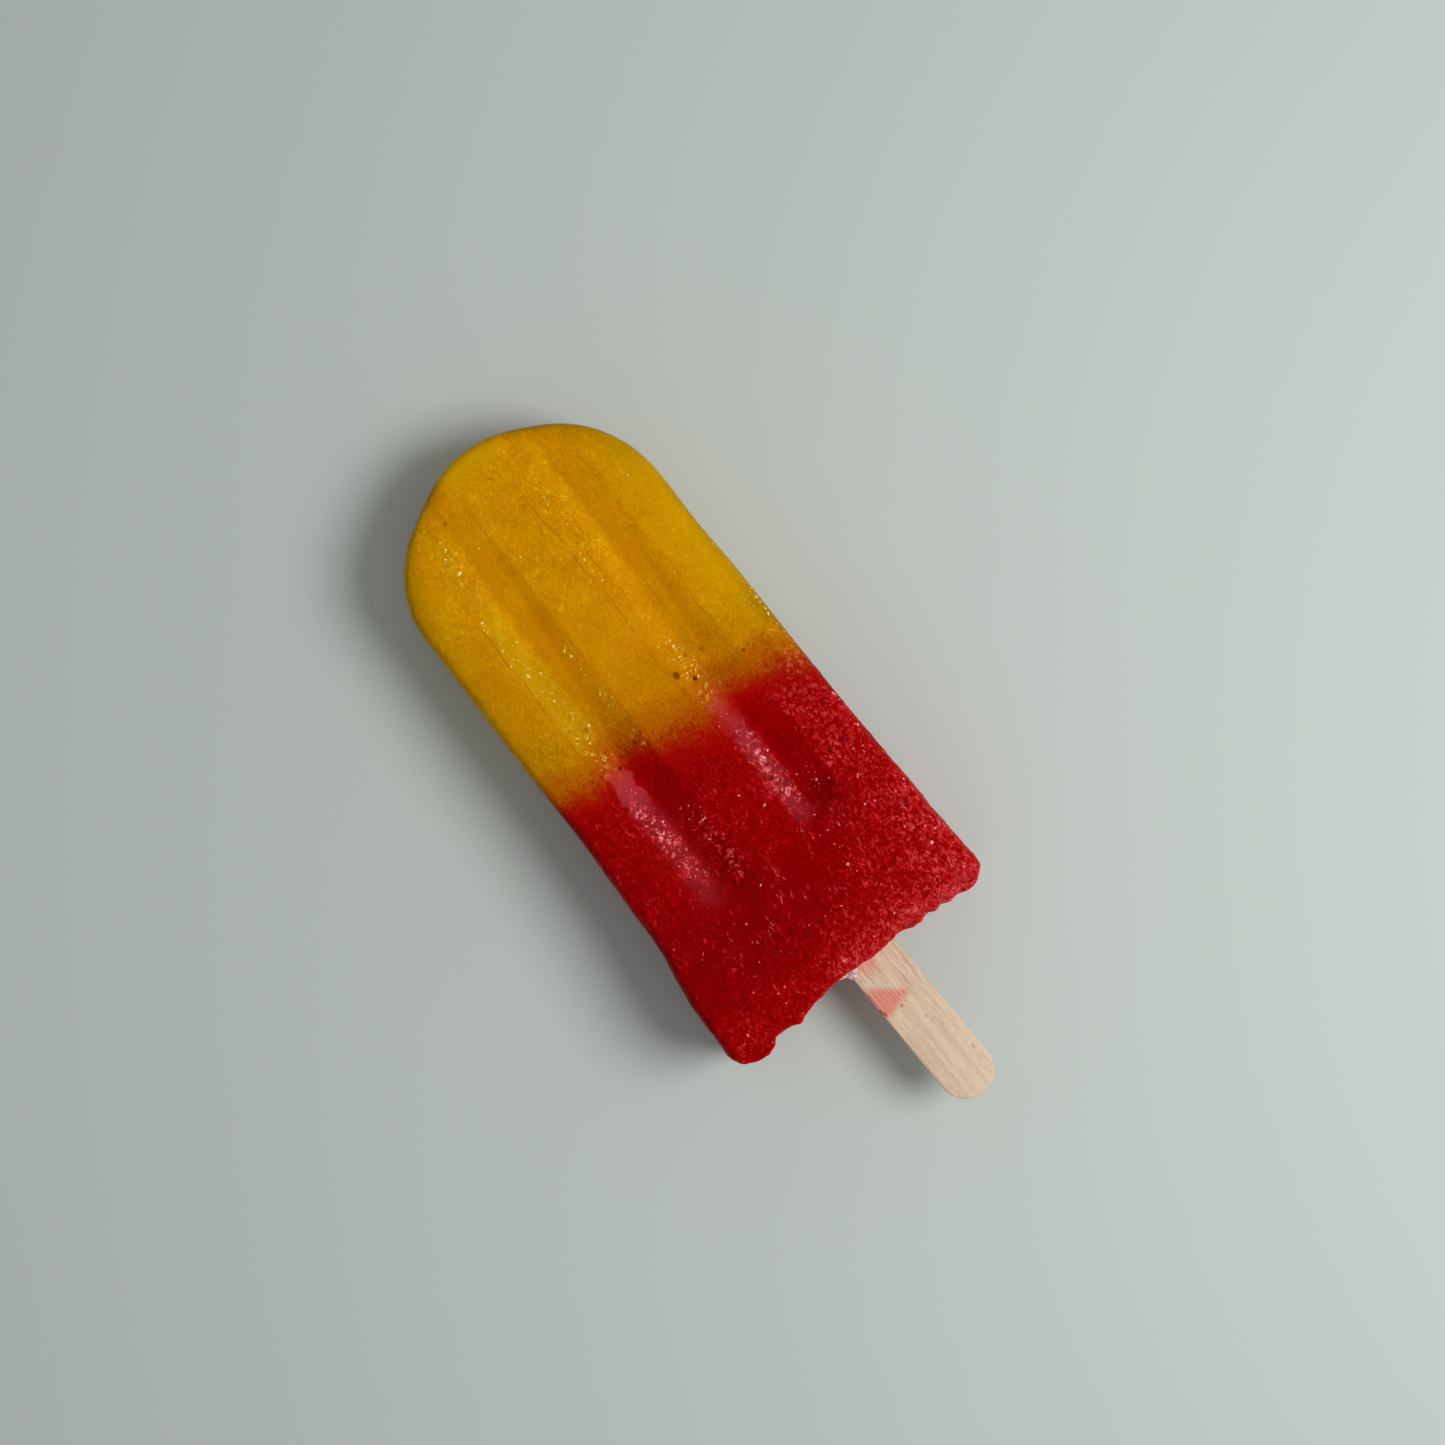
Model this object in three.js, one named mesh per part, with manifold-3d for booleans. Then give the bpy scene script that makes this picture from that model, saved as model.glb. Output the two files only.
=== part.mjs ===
// Ice pop: a yellow frozen layer on top of a red one, on a flat wooden stick, lying on its back.
// Units are millimetres. X runs across the pop, Y along it towards its rounded tip, and Z is up.
// Places along the pop are given as s, the distance from the tip, so y = -s until the last shift.
import * as THREE from "three";
import { mergeVertices } from "three/addons/utils/BufferGeometryUtils.js";
import Module from "manifold-3d";

// Frozen body
const BODY_LENGTH = 112.5; // from the tip to the level part of the open end
const TIP_RADIUS = 24.6; // the round tip seen from above, so half the width at the shoulder
const SIDE_DRAFT = 1.1; // what each side gains from the shoulder to the open end
const FLARE = 1.6; // what each side gains further at the open end
const FLARE_START = 76;
const HALF_THICK_TIP = 9.2; // half the thickness at the tip, before its rounding
const HALF_THICK_END = 12; // and at the open end
const SIDE_ROUNDING = 3.2; // how far in from the outline a face starts to round down, at the sides
const TIP_ROUNDING = 3.5; // and at the tip
const ROUNDING_POWER = 4.2; // 2 is an ellipse, more is squarer
const RIM_LENGTH = 2.6; // the rounded rim of the open end, along the pop
const RIM_INSET = 2; // and across it

// Flutes, two in each face; widths are shares of the half width
const FLUTE_AT = 0.43;
const FLUTE_HALF_WIDTH = 0.232;
const FLUTE_DEPTH = 2.4;
const FLUTE_FADE_START = 60; // from here to the tip the flutes get shallower
const FLUTE_TIP_SHARE = 0.18; // the share of their depth that is left there
const FLUTE_ROOT = 0.25; // how rounded the bottom of the V is
const FLUTE_RUN_OUT = 4; // the length over which they fade at the outline of the tip
const FLUTE_END = 81; // where its round end starts
const FLUTE_END_LENGTH = 7.2;
const SCALLOP = { depth: 0.45, at: 28, spread: 13, reach: 6 }; // at and spread in degrees round the tip

// Uneven open end: bumps of the given height, at x and z, with a spread across and through the pop
const END_BUMPS = [
  { x: -22.6, z: 13, height: 2.1, across: 3.6, through: 12 },
  { x: -14, z: 14, height: 1, across: 1.9, through: 9 },
  { x: -4, z: 17, height: -0.7, across: 4.5, through: 8 },
  { x: 6, z: 7, height: 0.8, across: 6, through: 5 },
  { x: 12.4, z: 18, height: 0.3, across: 1.6, through: 5 },
  { x: 22.8, z: 13, height: 0.8, across: 3.2, through: 9 },
  { x: 18.5, z: 6, height: 0.5, across: 3, through: 3 },
];
const END_BUMP_REACH = 9; // the length of body that the bumps draw out

// A low lump on the left shoulder, which starts at this share of the half width
const SHOULDER_LUMP = { s: 16.5, z: 10, height: 0.8, along: 6, through: 12, start: 0.4, full: 0.85 };

// Where yellow meets red: places along the pop, from the left edge to the right one
const LAYER_LINE = [
  { x: -30, s: 58.5 },
  { x: -21, s: 59.5 },
  { x: -16, s: 60.5 },
  { x: -10.8, s: 57 },
  { x: -5.8, s: 59.5 },
  { x: 0, s: 62.5 },
  { x: 5.2, s: 62 },
  { x: 10.6, s: 58.8 },
  { x: 16, s: 61.2 },
  { x: 22, s: 62.4 },
  { x: 30, s: 62.8 },
];
const LAYER_LINE_STEPS = 40;
const GAP = 0.3; // between pieces that touch

// Wooden stick, in the middle of the thickness
const STICK_LENGTH = 114;
const STICK_WIDTH = 10;
const STICK_THICKNESS = 2;
const STICK_EDGE = 0.25; // worn edge
const STICK_OUT = 30.6; // how far it stands out of the open end
const STICK_OFFSET = 2.5; // to the right, at the open end
const STICK_TILT_DEG = 2; // to the right, towards its free end

// Fineness of the frozen body's mesh
const TIP_ROWS = 13;
const STRAIGHT_ROWS = [TIP_RADIUS, 35, 47, 59, 70, 77]; // up to where the flutes end
const FLUTE_END_ROW = 1.2; // the step between rows across the flutes' ends
const OPEN_END_ROWS = [90, 94, 98, 101.5, 104.5, 107];
const RIM_TURNS = [0.2, 0.45, 0.7, 0.88, 1]; // shares of the rim's quarter turn
const CAP_SHARES = [0.9, 0.78, 0.62, 0.44, 0.24]; // the open end's rows, towards its middle
const ROUNDING_STEPS = 7; // across each rounded side
const FLUTE_STEPS = 8; // across each flute
const FLUTE_EDGE_CROWDING = 1.3; // over 1, the steps crowd towards the flute's bottom
const RIDGE_STEPS = 4; // across the ridge in the middle
const LAND_STEPS = 3; // between a flute and the rounded side
const TOUCH = 1e-6; // a place this near the outline counts as on it

const wasm = await Module();
wasm.setup();

const lerp = THREE.MathUtils.lerp;
const smoothstep = THREE.MathUtils.smoothstep;

// ---------------------------------------------------------------- meshes and solids

// A skin over rings of equally many points. The first ring is flat and closes itself; the last gets a cap.
function skin(rings) {
  const around = rings[0].length;
  const positions = rings.flat().flatMap((p) => [p.x, p.y, p.z]);
  const middle = positions.length / 3;
  const centre = new THREE.Vector3();
  rings.at(-1).forEach((p) => centre.addScaledVector(p, 1 / around));
  positions.push(centre.x, centre.y, centre.z);
  const index = [];
  rings.forEach((ring, i) => {
    ring.forEach((_, j) => {
      const a = i * around + j;
      const b = i * around + ((j + 1) % around);
      if (ring === rings.at(-1)) index.push(b, a, middle);
      else index.push(a, b + around, b, a, a + around, b + around);
    });
  });
  const geometry = new THREE.BufferGeometry();
  geometry.setAttribute("position", new THREE.Float32BufferAttribute(positions, 3));
  geometry.setIndex(index);
  return geometry;
}

// A solid to join and cut with.
function solidOf(geometry) {
  const bare = geometry.clone();
  bare.deleteAttribute("normal");
  bare.deleteAttribute("uv");
  const merged = mergeVertices(bare, 1e-4);
  const corners = Array.from(merged.index.array);
  const triangles = [];
  for (let i = 0; i < corners.length; i += 3) {
    const triangle = corners.slice(i, i + 3);
    if (new Set(triangle).size === 3) triangles.push(...triangle);
  }
  return new wasm.Manifold(
    new wasm.Mesh({
      numProp: 3,
      vertProperties: merged.attributes.position.array,
      triVerts: new Uint32Array(triangles),
    }),
  );
}

function geometryOf(solid) {
  const { vertProperties, triVerts } = solid.getMesh();
  const geometry = new THREE.BufferGeometry();
  geometry.setAttribute("position", new THREE.BufferAttribute(vertProperties, 3));
  geometry.setIndex(new THREE.BufferAttribute(triVerts, 1));
  geometry.computeVertexNormals();
  return geometry;
}

// ---------------------------------------------------------------- the frozen body's form

// Half the width from the shoulder on, seen from above.
function halfWidth(s) {
  const drafted = SIDE_DRAFT * Math.max(0, (s - TIP_RADIUS) / (BODY_LENGTH - TIP_RADIUS));
  return TIP_RADIUS + drafted + FLARE * smoothstep(s, FLARE_START, BODY_LENGTH);
}

// Height of the middle plane, which rises towards the open end because the pop lies on its back.
function middle(s) {
  return lerp(HALF_THICK_TIP, HALF_THICK_END, s / BODY_LENGTH);
}

// How far in from the outline a place is.
function inside(x, s) {
  return s < TIP_RADIUS ? TIP_RADIUS - Math.hypot(x, TIP_RADIUS - s) : halfWidth(s) - Math.abs(x);
}

// Height of a face over the middle plane, without its flutes.
function faceHeight(x, s) {
  const towardsTip = Math.max(0, TIP_RADIUS - s) / TIP_RADIUS;
  const rounding = lerp(SIDE_ROUNDING, TIP_ROUNDING, towardsTip);
  const share = Math.max(0, 1 - (inside(x, s) - TOUCH) / rounding);
  return middle(s) * (1 - Math.min(1, share) ** ROUNDING_POWER) ** (1 / ROUNDING_POWER);
}

// Depth of the flutes in a face: a rounded V that fades at the tip and has a round end.
function fluteDepth(x, s) {
  const across = (Math.abs(x) / halfWidth(s) - FLUTE_AT) / FLUTE_HALF_WIDTH;
  const beyond = Math.max(0, s - FLUTE_END) / FLUTE_END_LENGTH;
  const rise = (value) => Math.hypot(value, FLUTE_ROOT) - FLUTE_ROOT;
  const share = 1 - rise(Math.hypot(across, beyond)) / rise(1);
  const fade = lerp(FLUTE_TIP_SHARE, 1, Math.min(1, s / FLUTE_FADE_START));
  return FLUTE_DEPTH * fade * Math.max(0, share) * smoothstep(inside(x, s), -1, FLUTE_RUN_OUT);
}

// How far a flute draws in the tip's outline near a place.
function scallop(x, s) {
  const angle = THREE.MathUtils.radToDeg(Math.atan2(Math.abs(x), TIP_RADIUS - s));
  const near = Math.exp(-(((angle - SCALLOP.at) / SCALLOP.spread) ** 2));
  return SCALLOP.depth * near * (1 - smoothstep(inside(x, s), 0, SCALLOP.reach));
}

// How far the bumps draw out the open end at a point.
function endBump(x, z, s) {
  const share = smoothstep(s, BODY_LENGTH - END_BUMP_REACH, BODY_LENGTH - 1);
  const height = END_BUMPS.reduce((sum, bump) => {
    const across = (x - bump.x) / bump.across;
    const through = (z - bump.z) / bump.through;
    return sum + bump.height * Math.exp(-across * across - through * through);
  }, 0);
  return share * height;
}

// How far the lump on the left shoulder stands out at a point.
function shoulderLump(x, z, s) {
  const lump = SHOULDER_LUMP;
  const near = Math.exp(-(((s - lump.s) / lump.along) ** 2) - ((z - lump.z) / lump.through) ** 2);
  return lump.height * near * smoothstep(-x, lump.start * TIP_RADIUS, lump.full * TIP_RADIUS);
}

// The columns of the mesh, as shares of the half width from -1 to 1. They follow the flutes' edges.
function columns() {
  const right = [];
  for (let i = 1; i <= RIDGE_STEPS / 2; i++) {
    right.push(((FLUTE_AT - FLUTE_HALF_WIDTH) * 2 * i) / RIDGE_STEPS);
  }
  for (let i = 1; i <= FLUTE_STEPS; i++) {
    const across = (2 * i) / FLUTE_STEPS - 1;
    right.push(FLUTE_AT + FLUTE_HALF_WIDTH * Math.sign(across) * Math.abs(across) ** FLUTE_EDGE_CROWDING);
  }
  const rounding = SIDE_ROUNDING / TIP_RADIUS;
  const edge = right.at(-1);
  for (let i = 1; i < LAND_STEPS; i++) right.push(lerp(edge, 1 - rounding, i / LAND_STEPS));
  for (let i = 0; i <= ROUNDING_STEPS; i++) {
    const angle = (i / ROUNDING_STEPS) * (Math.PI / 2);
    right.push(1 - rounding * (1 - Math.sin(angle) ** (2 / ROUNDING_POWER)));
  }
  return [...right.map((share) => -share).reverse(), 0, ...right];
}

// The ring of points over both faces at one row: at is given a column and returns its x and s.
function ring(at, inset = 0, shrink = 1) {
  const across = columns();
  const point = (column, face) => {
    const { x, s } = at(column);
    const height = Math.max(0, faceHeight(x, s) - fluteDepth(x, s) - inset);
    const width = x * shrink * (1 - inset / halfWidth(s));
    const z = middle(s) + face * height * shrink;
    const drawnIn = 1 - scallop(x, s) / TIP_RADIUS;
    const right = width * drawnIn - shoulderLump(width, z, s);
    const along = s < TIP_RADIUS ? TIP_RADIUS - (TIP_RADIUS - s) * drawnIn : s;
    return new THREE.Vector3(right, -along - endBump(right, z, s), z);
  };
  const top = across.map((column) => point(column, 1));
  const back = across.slice(1, -1).reverse().map((column) => point(column, -1));
  return [...top, ...back];
}

// A row in the round tip: share is 0 on the outline and 1 at the shoulder.
function tipRing(share) {
  return ring((column) => {
    const start = TIP_RADIUS * (1 - Math.sqrt(1 - column * column));
    return { x: column * TIP_RADIUS, s: lerp(start, TIP_RADIUS, 1 - Math.cos(share * (Math.PI / 2))) };
  });
}

// A row straight across, from the shoulder on.
function straightRing(s, inset, shrink) {
  return ring((column) => ({ x: column * halfWidth(s), s }), inset, shrink);
}

function wholeBody() {
  const rings = [];
  for (let i = 0; i < TIP_ROWS; i++) rings.push(tipRing(i / TIP_ROWS));
  for (const s of STRAIGHT_ROWS) rings.push(straightRing(s));
  for (let s = FLUTE_END; s < FLUTE_END + FLUTE_END_LENGTH; s += FLUTE_END_ROW) rings.push(straightRing(s));
  for (const s of OPEN_END_ROWS) rings.push(straightRing(s));
  for (const turn of RIM_TURNS) {
    const angle = turn * (Math.PI / 2);
    const s = BODY_LENGTH - RIM_LENGTH * (1 - Math.sin(angle));
    rings.push(straightRing(s, RIM_INSET * (1 - Math.cos(angle))));
  }
  for (const share of CAP_SHARES) rings.push(straightRing(BODY_LENGTH, RIM_INSET, share));
  return solidOf(skin(rings));
}

// ---------------------------------------------------------------- layers

// Everything past the line where the layers meet, moved along the pop by shift.
function pastLayerLine(shift) {
  const far = -2 * BODY_LENGTH;
  const height = 4 * HALF_THICK_END;
  const line = new THREE.SplineCurve(LAYER_LINE.map(({ x, s }) => new THREE.Vector2(x, -s + shift)));
  const shape = new THREE.Shape([
    new THREE.Vector2(LAYER_LINE[0].x, far),
    new THREE.Vector2(LAYER_LINE.at(-1).x, far),
    ...line.getPoints(LAYER_LINE_STEPS).reverse(),
  ]);
  const prism = new THREE.ExtrudeGeometry(shape, { depth: height, bevelEnabled: false });
  prism.translate(0, 0, HALF_THICK_END - height / 2);
  return solidOf(prism);
}

// ---------------------------------------------------------------- stick

// The stick's outline with round ends, grown by clearance, from its free end at the origin towards +Y.
function stickGeometry(clearance) {
  const radius = STICK_WIDTH / 2;
  const shape = new THREE.Shape();
  shape.absarc(0, radius, radius + clearance - STICK_EDGE, Math.PI, 2 * Math.PI);
  shape.absarc(0, STICK_LENGTH - radius, radius + clearance - STICK_EDGE, 0, Math.PI);
  const geometry = new THREE.ExtrudeGeometry(shape, {
    depth: STICK_THICKNESS + 2 * clearance - 2 * STICK_EDGE,
    bevelThickness: STICK_EDGE,
    bevelSize: STICK_EDGE,
    bevelSegments: 2,
    curveSegments: 14,
  });
  geometry.translate(0, 0, -STICK_THICKNESS / 2 - clearance + STICK_EDGE);
  return geometry;
}

// Puts the stick, or its socket, where the real one is: in the middle plane, leaning to the right.
function placeStick(geometry) {
  const tilt = THREE.MathUtils.degToRad(STICK_TILT_DEG);
  const rise = Math.atan((HALF_THICK_END - HALF_THICK_TIP) / BODY_LENGTH);
  const x = STICK_OFFSET + STICK_OUT * Math.sin(tilt);
  const s = BODY_LENGTH + STICK_OUT * Math.cos(tilt);
  geometry.rotateZ(tilt);
  geometry.rotateX(-rise);
  geometry.translate(x, -s, middle(s));
  return geometry;
}

// ---------------------------------------------------------------- the pop

function buildLayers() {
  const body = wholeBody().subtract(solidOf(placeStick(stickGeometry(GAP))));
  return {
    yellow: geometryOf(body.subtract(pastLayerLine(0))),
    red: geometryOf(body.intersect(pastLayerLine(-GAP))),
  };
}

function named(name, geometry, material) {
  const mesh = new THREE.Mesh(geometry, new THREE.MeshStandardMaterial(material));
  mesh.name = name;
  return mesh;
}

const { yellow, red } = buildLayers();
const pop = new THREE.Group();
pop.add(
  named("yellow_ice", yellow, { color: "#c78a08", roughness: 0.4, metalness: 0 }),
  named("red_ice", red, { color: "#a00f12", roughness: 0.4, metalness: 0 }),
  named("stick", placeStick(stickGeometry(0)), { color: "#d8bf9f", roughness: 0.75, metalness: 0 }),
);

// The origin is the middle of the box round the pop, at the height of the surface it lies on.
const box = new THREE.Box3().setFromObject(pop, true);
const centre = box.getCenter(new THREE.Vector3());
pop.position.set(-centre.x, -centre.y, -box.min.z);

export default pop;
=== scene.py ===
"""Ice pop lying on its back: a yellow frozen layer over a red one, on a flat wooden stick.

The scene is in metres. The sizes named below are in millimetres, and MM turns them into metres. The pop's
length runs along Y with the rounded tip at +Y, and a place along it is given as s, its distance from the tip.
x is the distance to the right of the middle, seen from above, and z the height over the floor.
"""

import math
import random
from contextlib import contextmanager

import bmesh
import bpy
from mathutils import Euler, Matrix, Vector


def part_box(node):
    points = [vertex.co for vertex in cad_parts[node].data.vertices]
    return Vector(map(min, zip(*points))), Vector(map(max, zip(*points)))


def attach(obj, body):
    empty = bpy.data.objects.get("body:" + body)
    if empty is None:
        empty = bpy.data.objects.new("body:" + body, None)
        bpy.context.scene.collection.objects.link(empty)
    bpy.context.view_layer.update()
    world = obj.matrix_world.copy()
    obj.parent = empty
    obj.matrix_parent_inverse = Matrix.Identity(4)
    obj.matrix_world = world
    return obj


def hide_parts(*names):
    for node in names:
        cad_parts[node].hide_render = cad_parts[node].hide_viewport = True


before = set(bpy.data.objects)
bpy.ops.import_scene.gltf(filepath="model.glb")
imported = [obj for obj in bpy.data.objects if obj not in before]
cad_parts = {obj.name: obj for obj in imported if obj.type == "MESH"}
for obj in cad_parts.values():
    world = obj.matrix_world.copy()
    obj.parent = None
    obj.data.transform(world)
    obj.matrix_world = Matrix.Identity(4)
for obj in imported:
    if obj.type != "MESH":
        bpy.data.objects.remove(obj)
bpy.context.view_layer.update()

MM = 0.001
HAIR = 0.01  # millimetres; corners that are nearer than this are at one place
TIP_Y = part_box("yellow_ice")[1].y

# The frozen body
BODY_LENGTH = 112.5
TIP_RADIUS = 24.6
SIDE_DRAFT = 1.1  # what each side gains from the shoulder to the open end
FLARE = 1.6  # what each side gains further at the open end
FLARE_START = 76
HALF_THICK_TIP = 9.2
HALF_THICK_END = 12
EDGE_ROUNDING = 3.2  # how far in from the outline a face starts to round down
ROUNDING_POWER = 4.2  # 2 is an ellipse, more is squarer
RIM_LENGTH = 2.6  # the rounded rim of the open end, along the pop
RIM_INSET = 2  # and across it
RIM_POWER = 2.8
SKIN_CELL = 0.4  # size of the skin's faces
TIP_WORN = 0.4  # what is worn off the tip
END_TRIM = 0.35  # what the whole open end stays short of its length

# The flutes, two in each face
FLUTE_AT = 10.7  # from the middle of the face
FLUTE_HALF_WIDTH = 5.8
FLUTE_ROOT = 0.45  # half the width of the bottom
FLUTE_DEPTH = 2.5
FLUTE_END = 81  # where the round end starts
FLUTE_END_LENGTH = 7.2
FLUTE_FADE_START = 60  # from here to the tip the flutes get shallower
FLUTE_TIP_RISE = 2.1  # by this much
SCALLOP_DEPTH = 0.45  # how far a flute draws in the outline of the tip
SCALLOP_AT = 28  # degrees round the tip
SCALLOP_SPREAD = 13  # and how far it reaches to both sides

# What the mould's wear and the frost add to each side, at some s
LEFT_GAIN = [
    (0, 0.1),
    (4, 0.3),
    (9, 0.65),
    (15, 0.85),
    (16.2, 0.75),
    (17.6, 1.0),
    (21, 0.7),
    (26, 0.45),
    (50, 0.2),
    (66, -0.2),
    (78, -0.1),
    (90, -0.25),
    (96, 0.25),
    (100, 0.45),
    (109, 0.1),
]
RIGHT_GAIN = [(8, 0.1), (22, 0.2), (33, 0), (48, 0.35), (66, 0.35), (78, 0.4), (92, 0.35), (100, -0.05)]

# What the frozen drips add to the open end, at some x
END_GAIN = [
    (-27.4, 0.2),
    (-25.2, 1.5),
    (-23.4, 2.2),
    (-21.4, 2.45),
    (-19.8, 1.7),
    (-18.7, 0.75),
    (-15.4, 0.85),
    (-13.7, 1.55),
    (-12.3, 0.7),
    (-9.6, 0.2),
    (-5.5, -0.4),
    (-1.5, -0.3),
    (4, 0),
    (9, -0.4),
    (12.5, 0.3),
    (14.7, -0.2),
    (16.2, 0.1),
    (17.4, -0.2),
    (19, 0.5),
    (20.2, 0.3),
    (23, 0.95),
    (24.6, 0.7),
    (26, 0),
]

# Where yellow meets red, from the left side to the right one
LAYER_LINE = [
    (-30, 58.5),
    (-21, 60),
    (-16, 61),
    (-10.8, 57.5),
    (-5.8, 59.5),
    (0, 62.5),
    (5.2, 62),
    (10.6, 58.8),
    (16, 61.2),
    (22, 62.4),
    (30, 62.8),
]

# The stick
STICK_LENGTH = 114
STICK_WIDTH = 10
STICK_THICKNESS = 2
STICK_EDGE = 0.3
STICK_CLEARANCE = 0.04  # between the stick and the ice round it
STICK_OUT = 30.6  # how far it stands out of the open end
STICK_OFFSET = 2.5  # to the right, at the open end
STICK_TILT = 2  # degrees to the right, towards its free end

SLOPE = math.atan((HALF_THICK_END - HALF_THICK_TIP) / BODY_LENGTH)  # of each face against the middle plane


# ---------------------------------------------------------------- workbench


def take(piece):
    """Makes a piece the only selected one, and the active one."""
    bpy.ops.object.select_all(action="DESELECT")
    piece.select_set(True)
    bpy.context.view_layer.objects.active = piece


def settle(piece):
    """Puts a piece's place, turn and scale into its mesh."""
    take(piece)
    bpy.ops.object.transform_apply(location=True, rotation=True, scale=True)
    return piece


@contextmanager
def editing(piece):
    """Edit mode, for the lines under it."""
    take(piece)
    bpy.ops.object.mode_set(mode="EDIT")
    yield
    bpy.ops.object.mode_set(mode="OBJECT")


def pick(piece, kind, test):
    """In edit mode, selects the corners, edges or faces whose points pass the test, and nothing else."""
    bpy.ops.mesh.select_mode(type=kind)
    bpy.ops.mesh.select_all(action="DESELECT")
    shape = bmesh.from_edit_mesh(piece.data)
    for part in {"VERT": shape.verts, "EDGE": shape.edges, "FACE": shape.faces}[kind]:
        points = [part.co] if kind == "VERT" else [corner.co for corner in part.verts]
        if test(points):
            part.select_set(True)
    shape.select_flush_mode()
    bmesh.update_edit_mesh(piece.data)


def work(piece, kind, **settings):
    """Adds a modifier to a piece and applies it."""
    take(piece)
    modifier = piece.modifiers.new(kind.lower(), kind)
    for name, value in settings.items():
        setattr(modifier, name, value)
    bpy.ops.object.modifier_apply(modifier=modifier.name)


def cut(piece, tool, operation="DIFFERENCE", keep_tool=False):
    """Cuts the tool out of a piece, or with INTERSECT leaves only what is inside the tool."""
    work(piece, "BOOLEAN", object=tool, operation=operation, solver="MANIFOLD")
    if not keep_tool:
        bpy.data.objects.remove(tool)


def copy_of(piece, name):
    twin = piece.copy()
    twin.data = piece.data.copy()
    twin.name = twin.data.name = name
    bpy.context.collection.objects.link(twin)
    return twin


def join(pieces, name):
    bpy.ops.object.select_all(action="DESELECT")
    for piece in pieces:
        piece.select_set(True)
    bpy.context.view_layer.objects.active = pieces[0]
    bpy.ops.object.join()
    pieces[0].name = pieces[0].data.name = name
    return pieces[0]


def smooth(low, high, value):
    """A smooth step, 0 at low and 1 at high."""
    share = min(1, max(0, (value - low) / (high - low)))
    return share * share * (3 - 2 * share)


def on_line(points, at):
    """The value at a place on a smooth line through pairs of place and value."""
    for (a, low), (b, high) in zip(points, points[1:]):
        if a <= at < b:
            return low + (high - low) * smooth(a, b, at)
    return points[0][1] if at < points[0][0] else points[-1][1]


# ---------------------------------------------------------------- the frozen body
# It is made with its tip at the origin, so that y is -s, and its middle plane level.


def half_width(s):
    """Half the width at the parting line, from the shoulder to the open end."""
    drafted = SIDE_DRAFT * max(0, (s - TIP_RADIUS) / (BODY_LENGTH - TIP_RADIUS))
    return TIP_RADIUS + drafted + FLARE * smooth(FLARE_START, BODY_LENGTH, s)


def outline_plate():
    """The outline at the parting line of the mould, longer than the pop at the open end."""
    spare = 10
    length = (BODY_LENGTH + spare) * MM
    bpy.ops.mesh.primitive_plane_add(size=1, location=(0, -length / 2, 0))
    plate = bpy.context.object
    plate.scale = (2 * TIP_RADIUS * MM, length, 1)
    settle(plate)
    with editing(plate):
        round_tip(plate)
        flare_sides(plate, spare)
    return plate


def round_tip(plate):
    """Rounds the plate's front, and draws the round in where the flutes run out over it."""
    steps = 18
    nearly = 0.998  # a full radius would make the two rounds overlap; their ends are merged instead
    pick(plate, "VERT", lambda points: points[0].y > -MM)
    bpy.ops.mesh.bevel(affect="VERTICES", offset=nearly * TIP_RADIUS * MM, segments=steps, profile=0.5)
    bpy.ops.mesh.remove_doubles(threshold=0.2 * MM)
    centre = Vector((0, -TIP_RADIUS * MM, 0))

    def turned(point):
        """How many degrees a point is round the tip from its middle."""
        arm = point - centre
        return math.degrees(math.atan2(abs(arm.x), arm.y))

    for step in range(steps + 1):
        angle = 90 * step / steps
        drawn_in = SCALLOP_DEPTH * math.exp(-(((angle - SCALLOP_AT) / SCALLOP_SPREAD) ** 2))
        share = 1 - drawn_in / TIP_RADIUS
        pick(plate, "VERT", lambda points: abs(turned(points[0]) - angle) < 45 / steps)
        bpy.ops.transform.resize(value=(share, share, 1), center_override=centre)


def flare_sides(plate, spare):
    """Gives the plate rows of corners along its sides, and moves each out to the body's width there."""
    rows = (TIP_RADIUS + 1, 50, FLARE_START, 84, 92, 100, 107, BODY_LENGTH)
    for s in rows:
        bpy.ops.mesh.select_all(action="SELECT")
        bpy.ops.mesh.bisect(plane_co=(0, -s * MM, 0), plane_no=(0, 1, 0))
    for s in (*rows, BODY_LENGTH + spare):
        pick(plate, "VERT", lambda points: abs(points[0].y + s * MM) < HAIR * MM)
        wider = half_width(min(s, BODY_LENGTH)) / TIP_RADIUS
        bpy.ops.transform.resize(value=(wider, 1, 1), center_override=(0, 0, 0))


def dome(steps, inward, height, power, turn=0):
    """Raises the selected faces into a rounded cushion. turn tilts its top about the tip, end up."""
    done_inward = done_height = 0
    for step in range(1, steps + 1):
        angle = math.pi / 2 * step / steps
        next_inward = inward * (1 - math.cos(angle) ** (2 / power))
        next_height = height * math.sin(angle) ** (2 / power)
        rise = next_height - done_height
        bpy.ops.mesh.inset(thickness=(next_inward - done_inward) * MM, depth=rise * MM)
        if turn:
            pivot = (0, 0, next_height * MM)
            bpy.ops.transform.rotate(value=turn * rise / height, orient_axis="X", center_override=pivot)
        done_inward, done_height = next_inward, next_height


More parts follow.
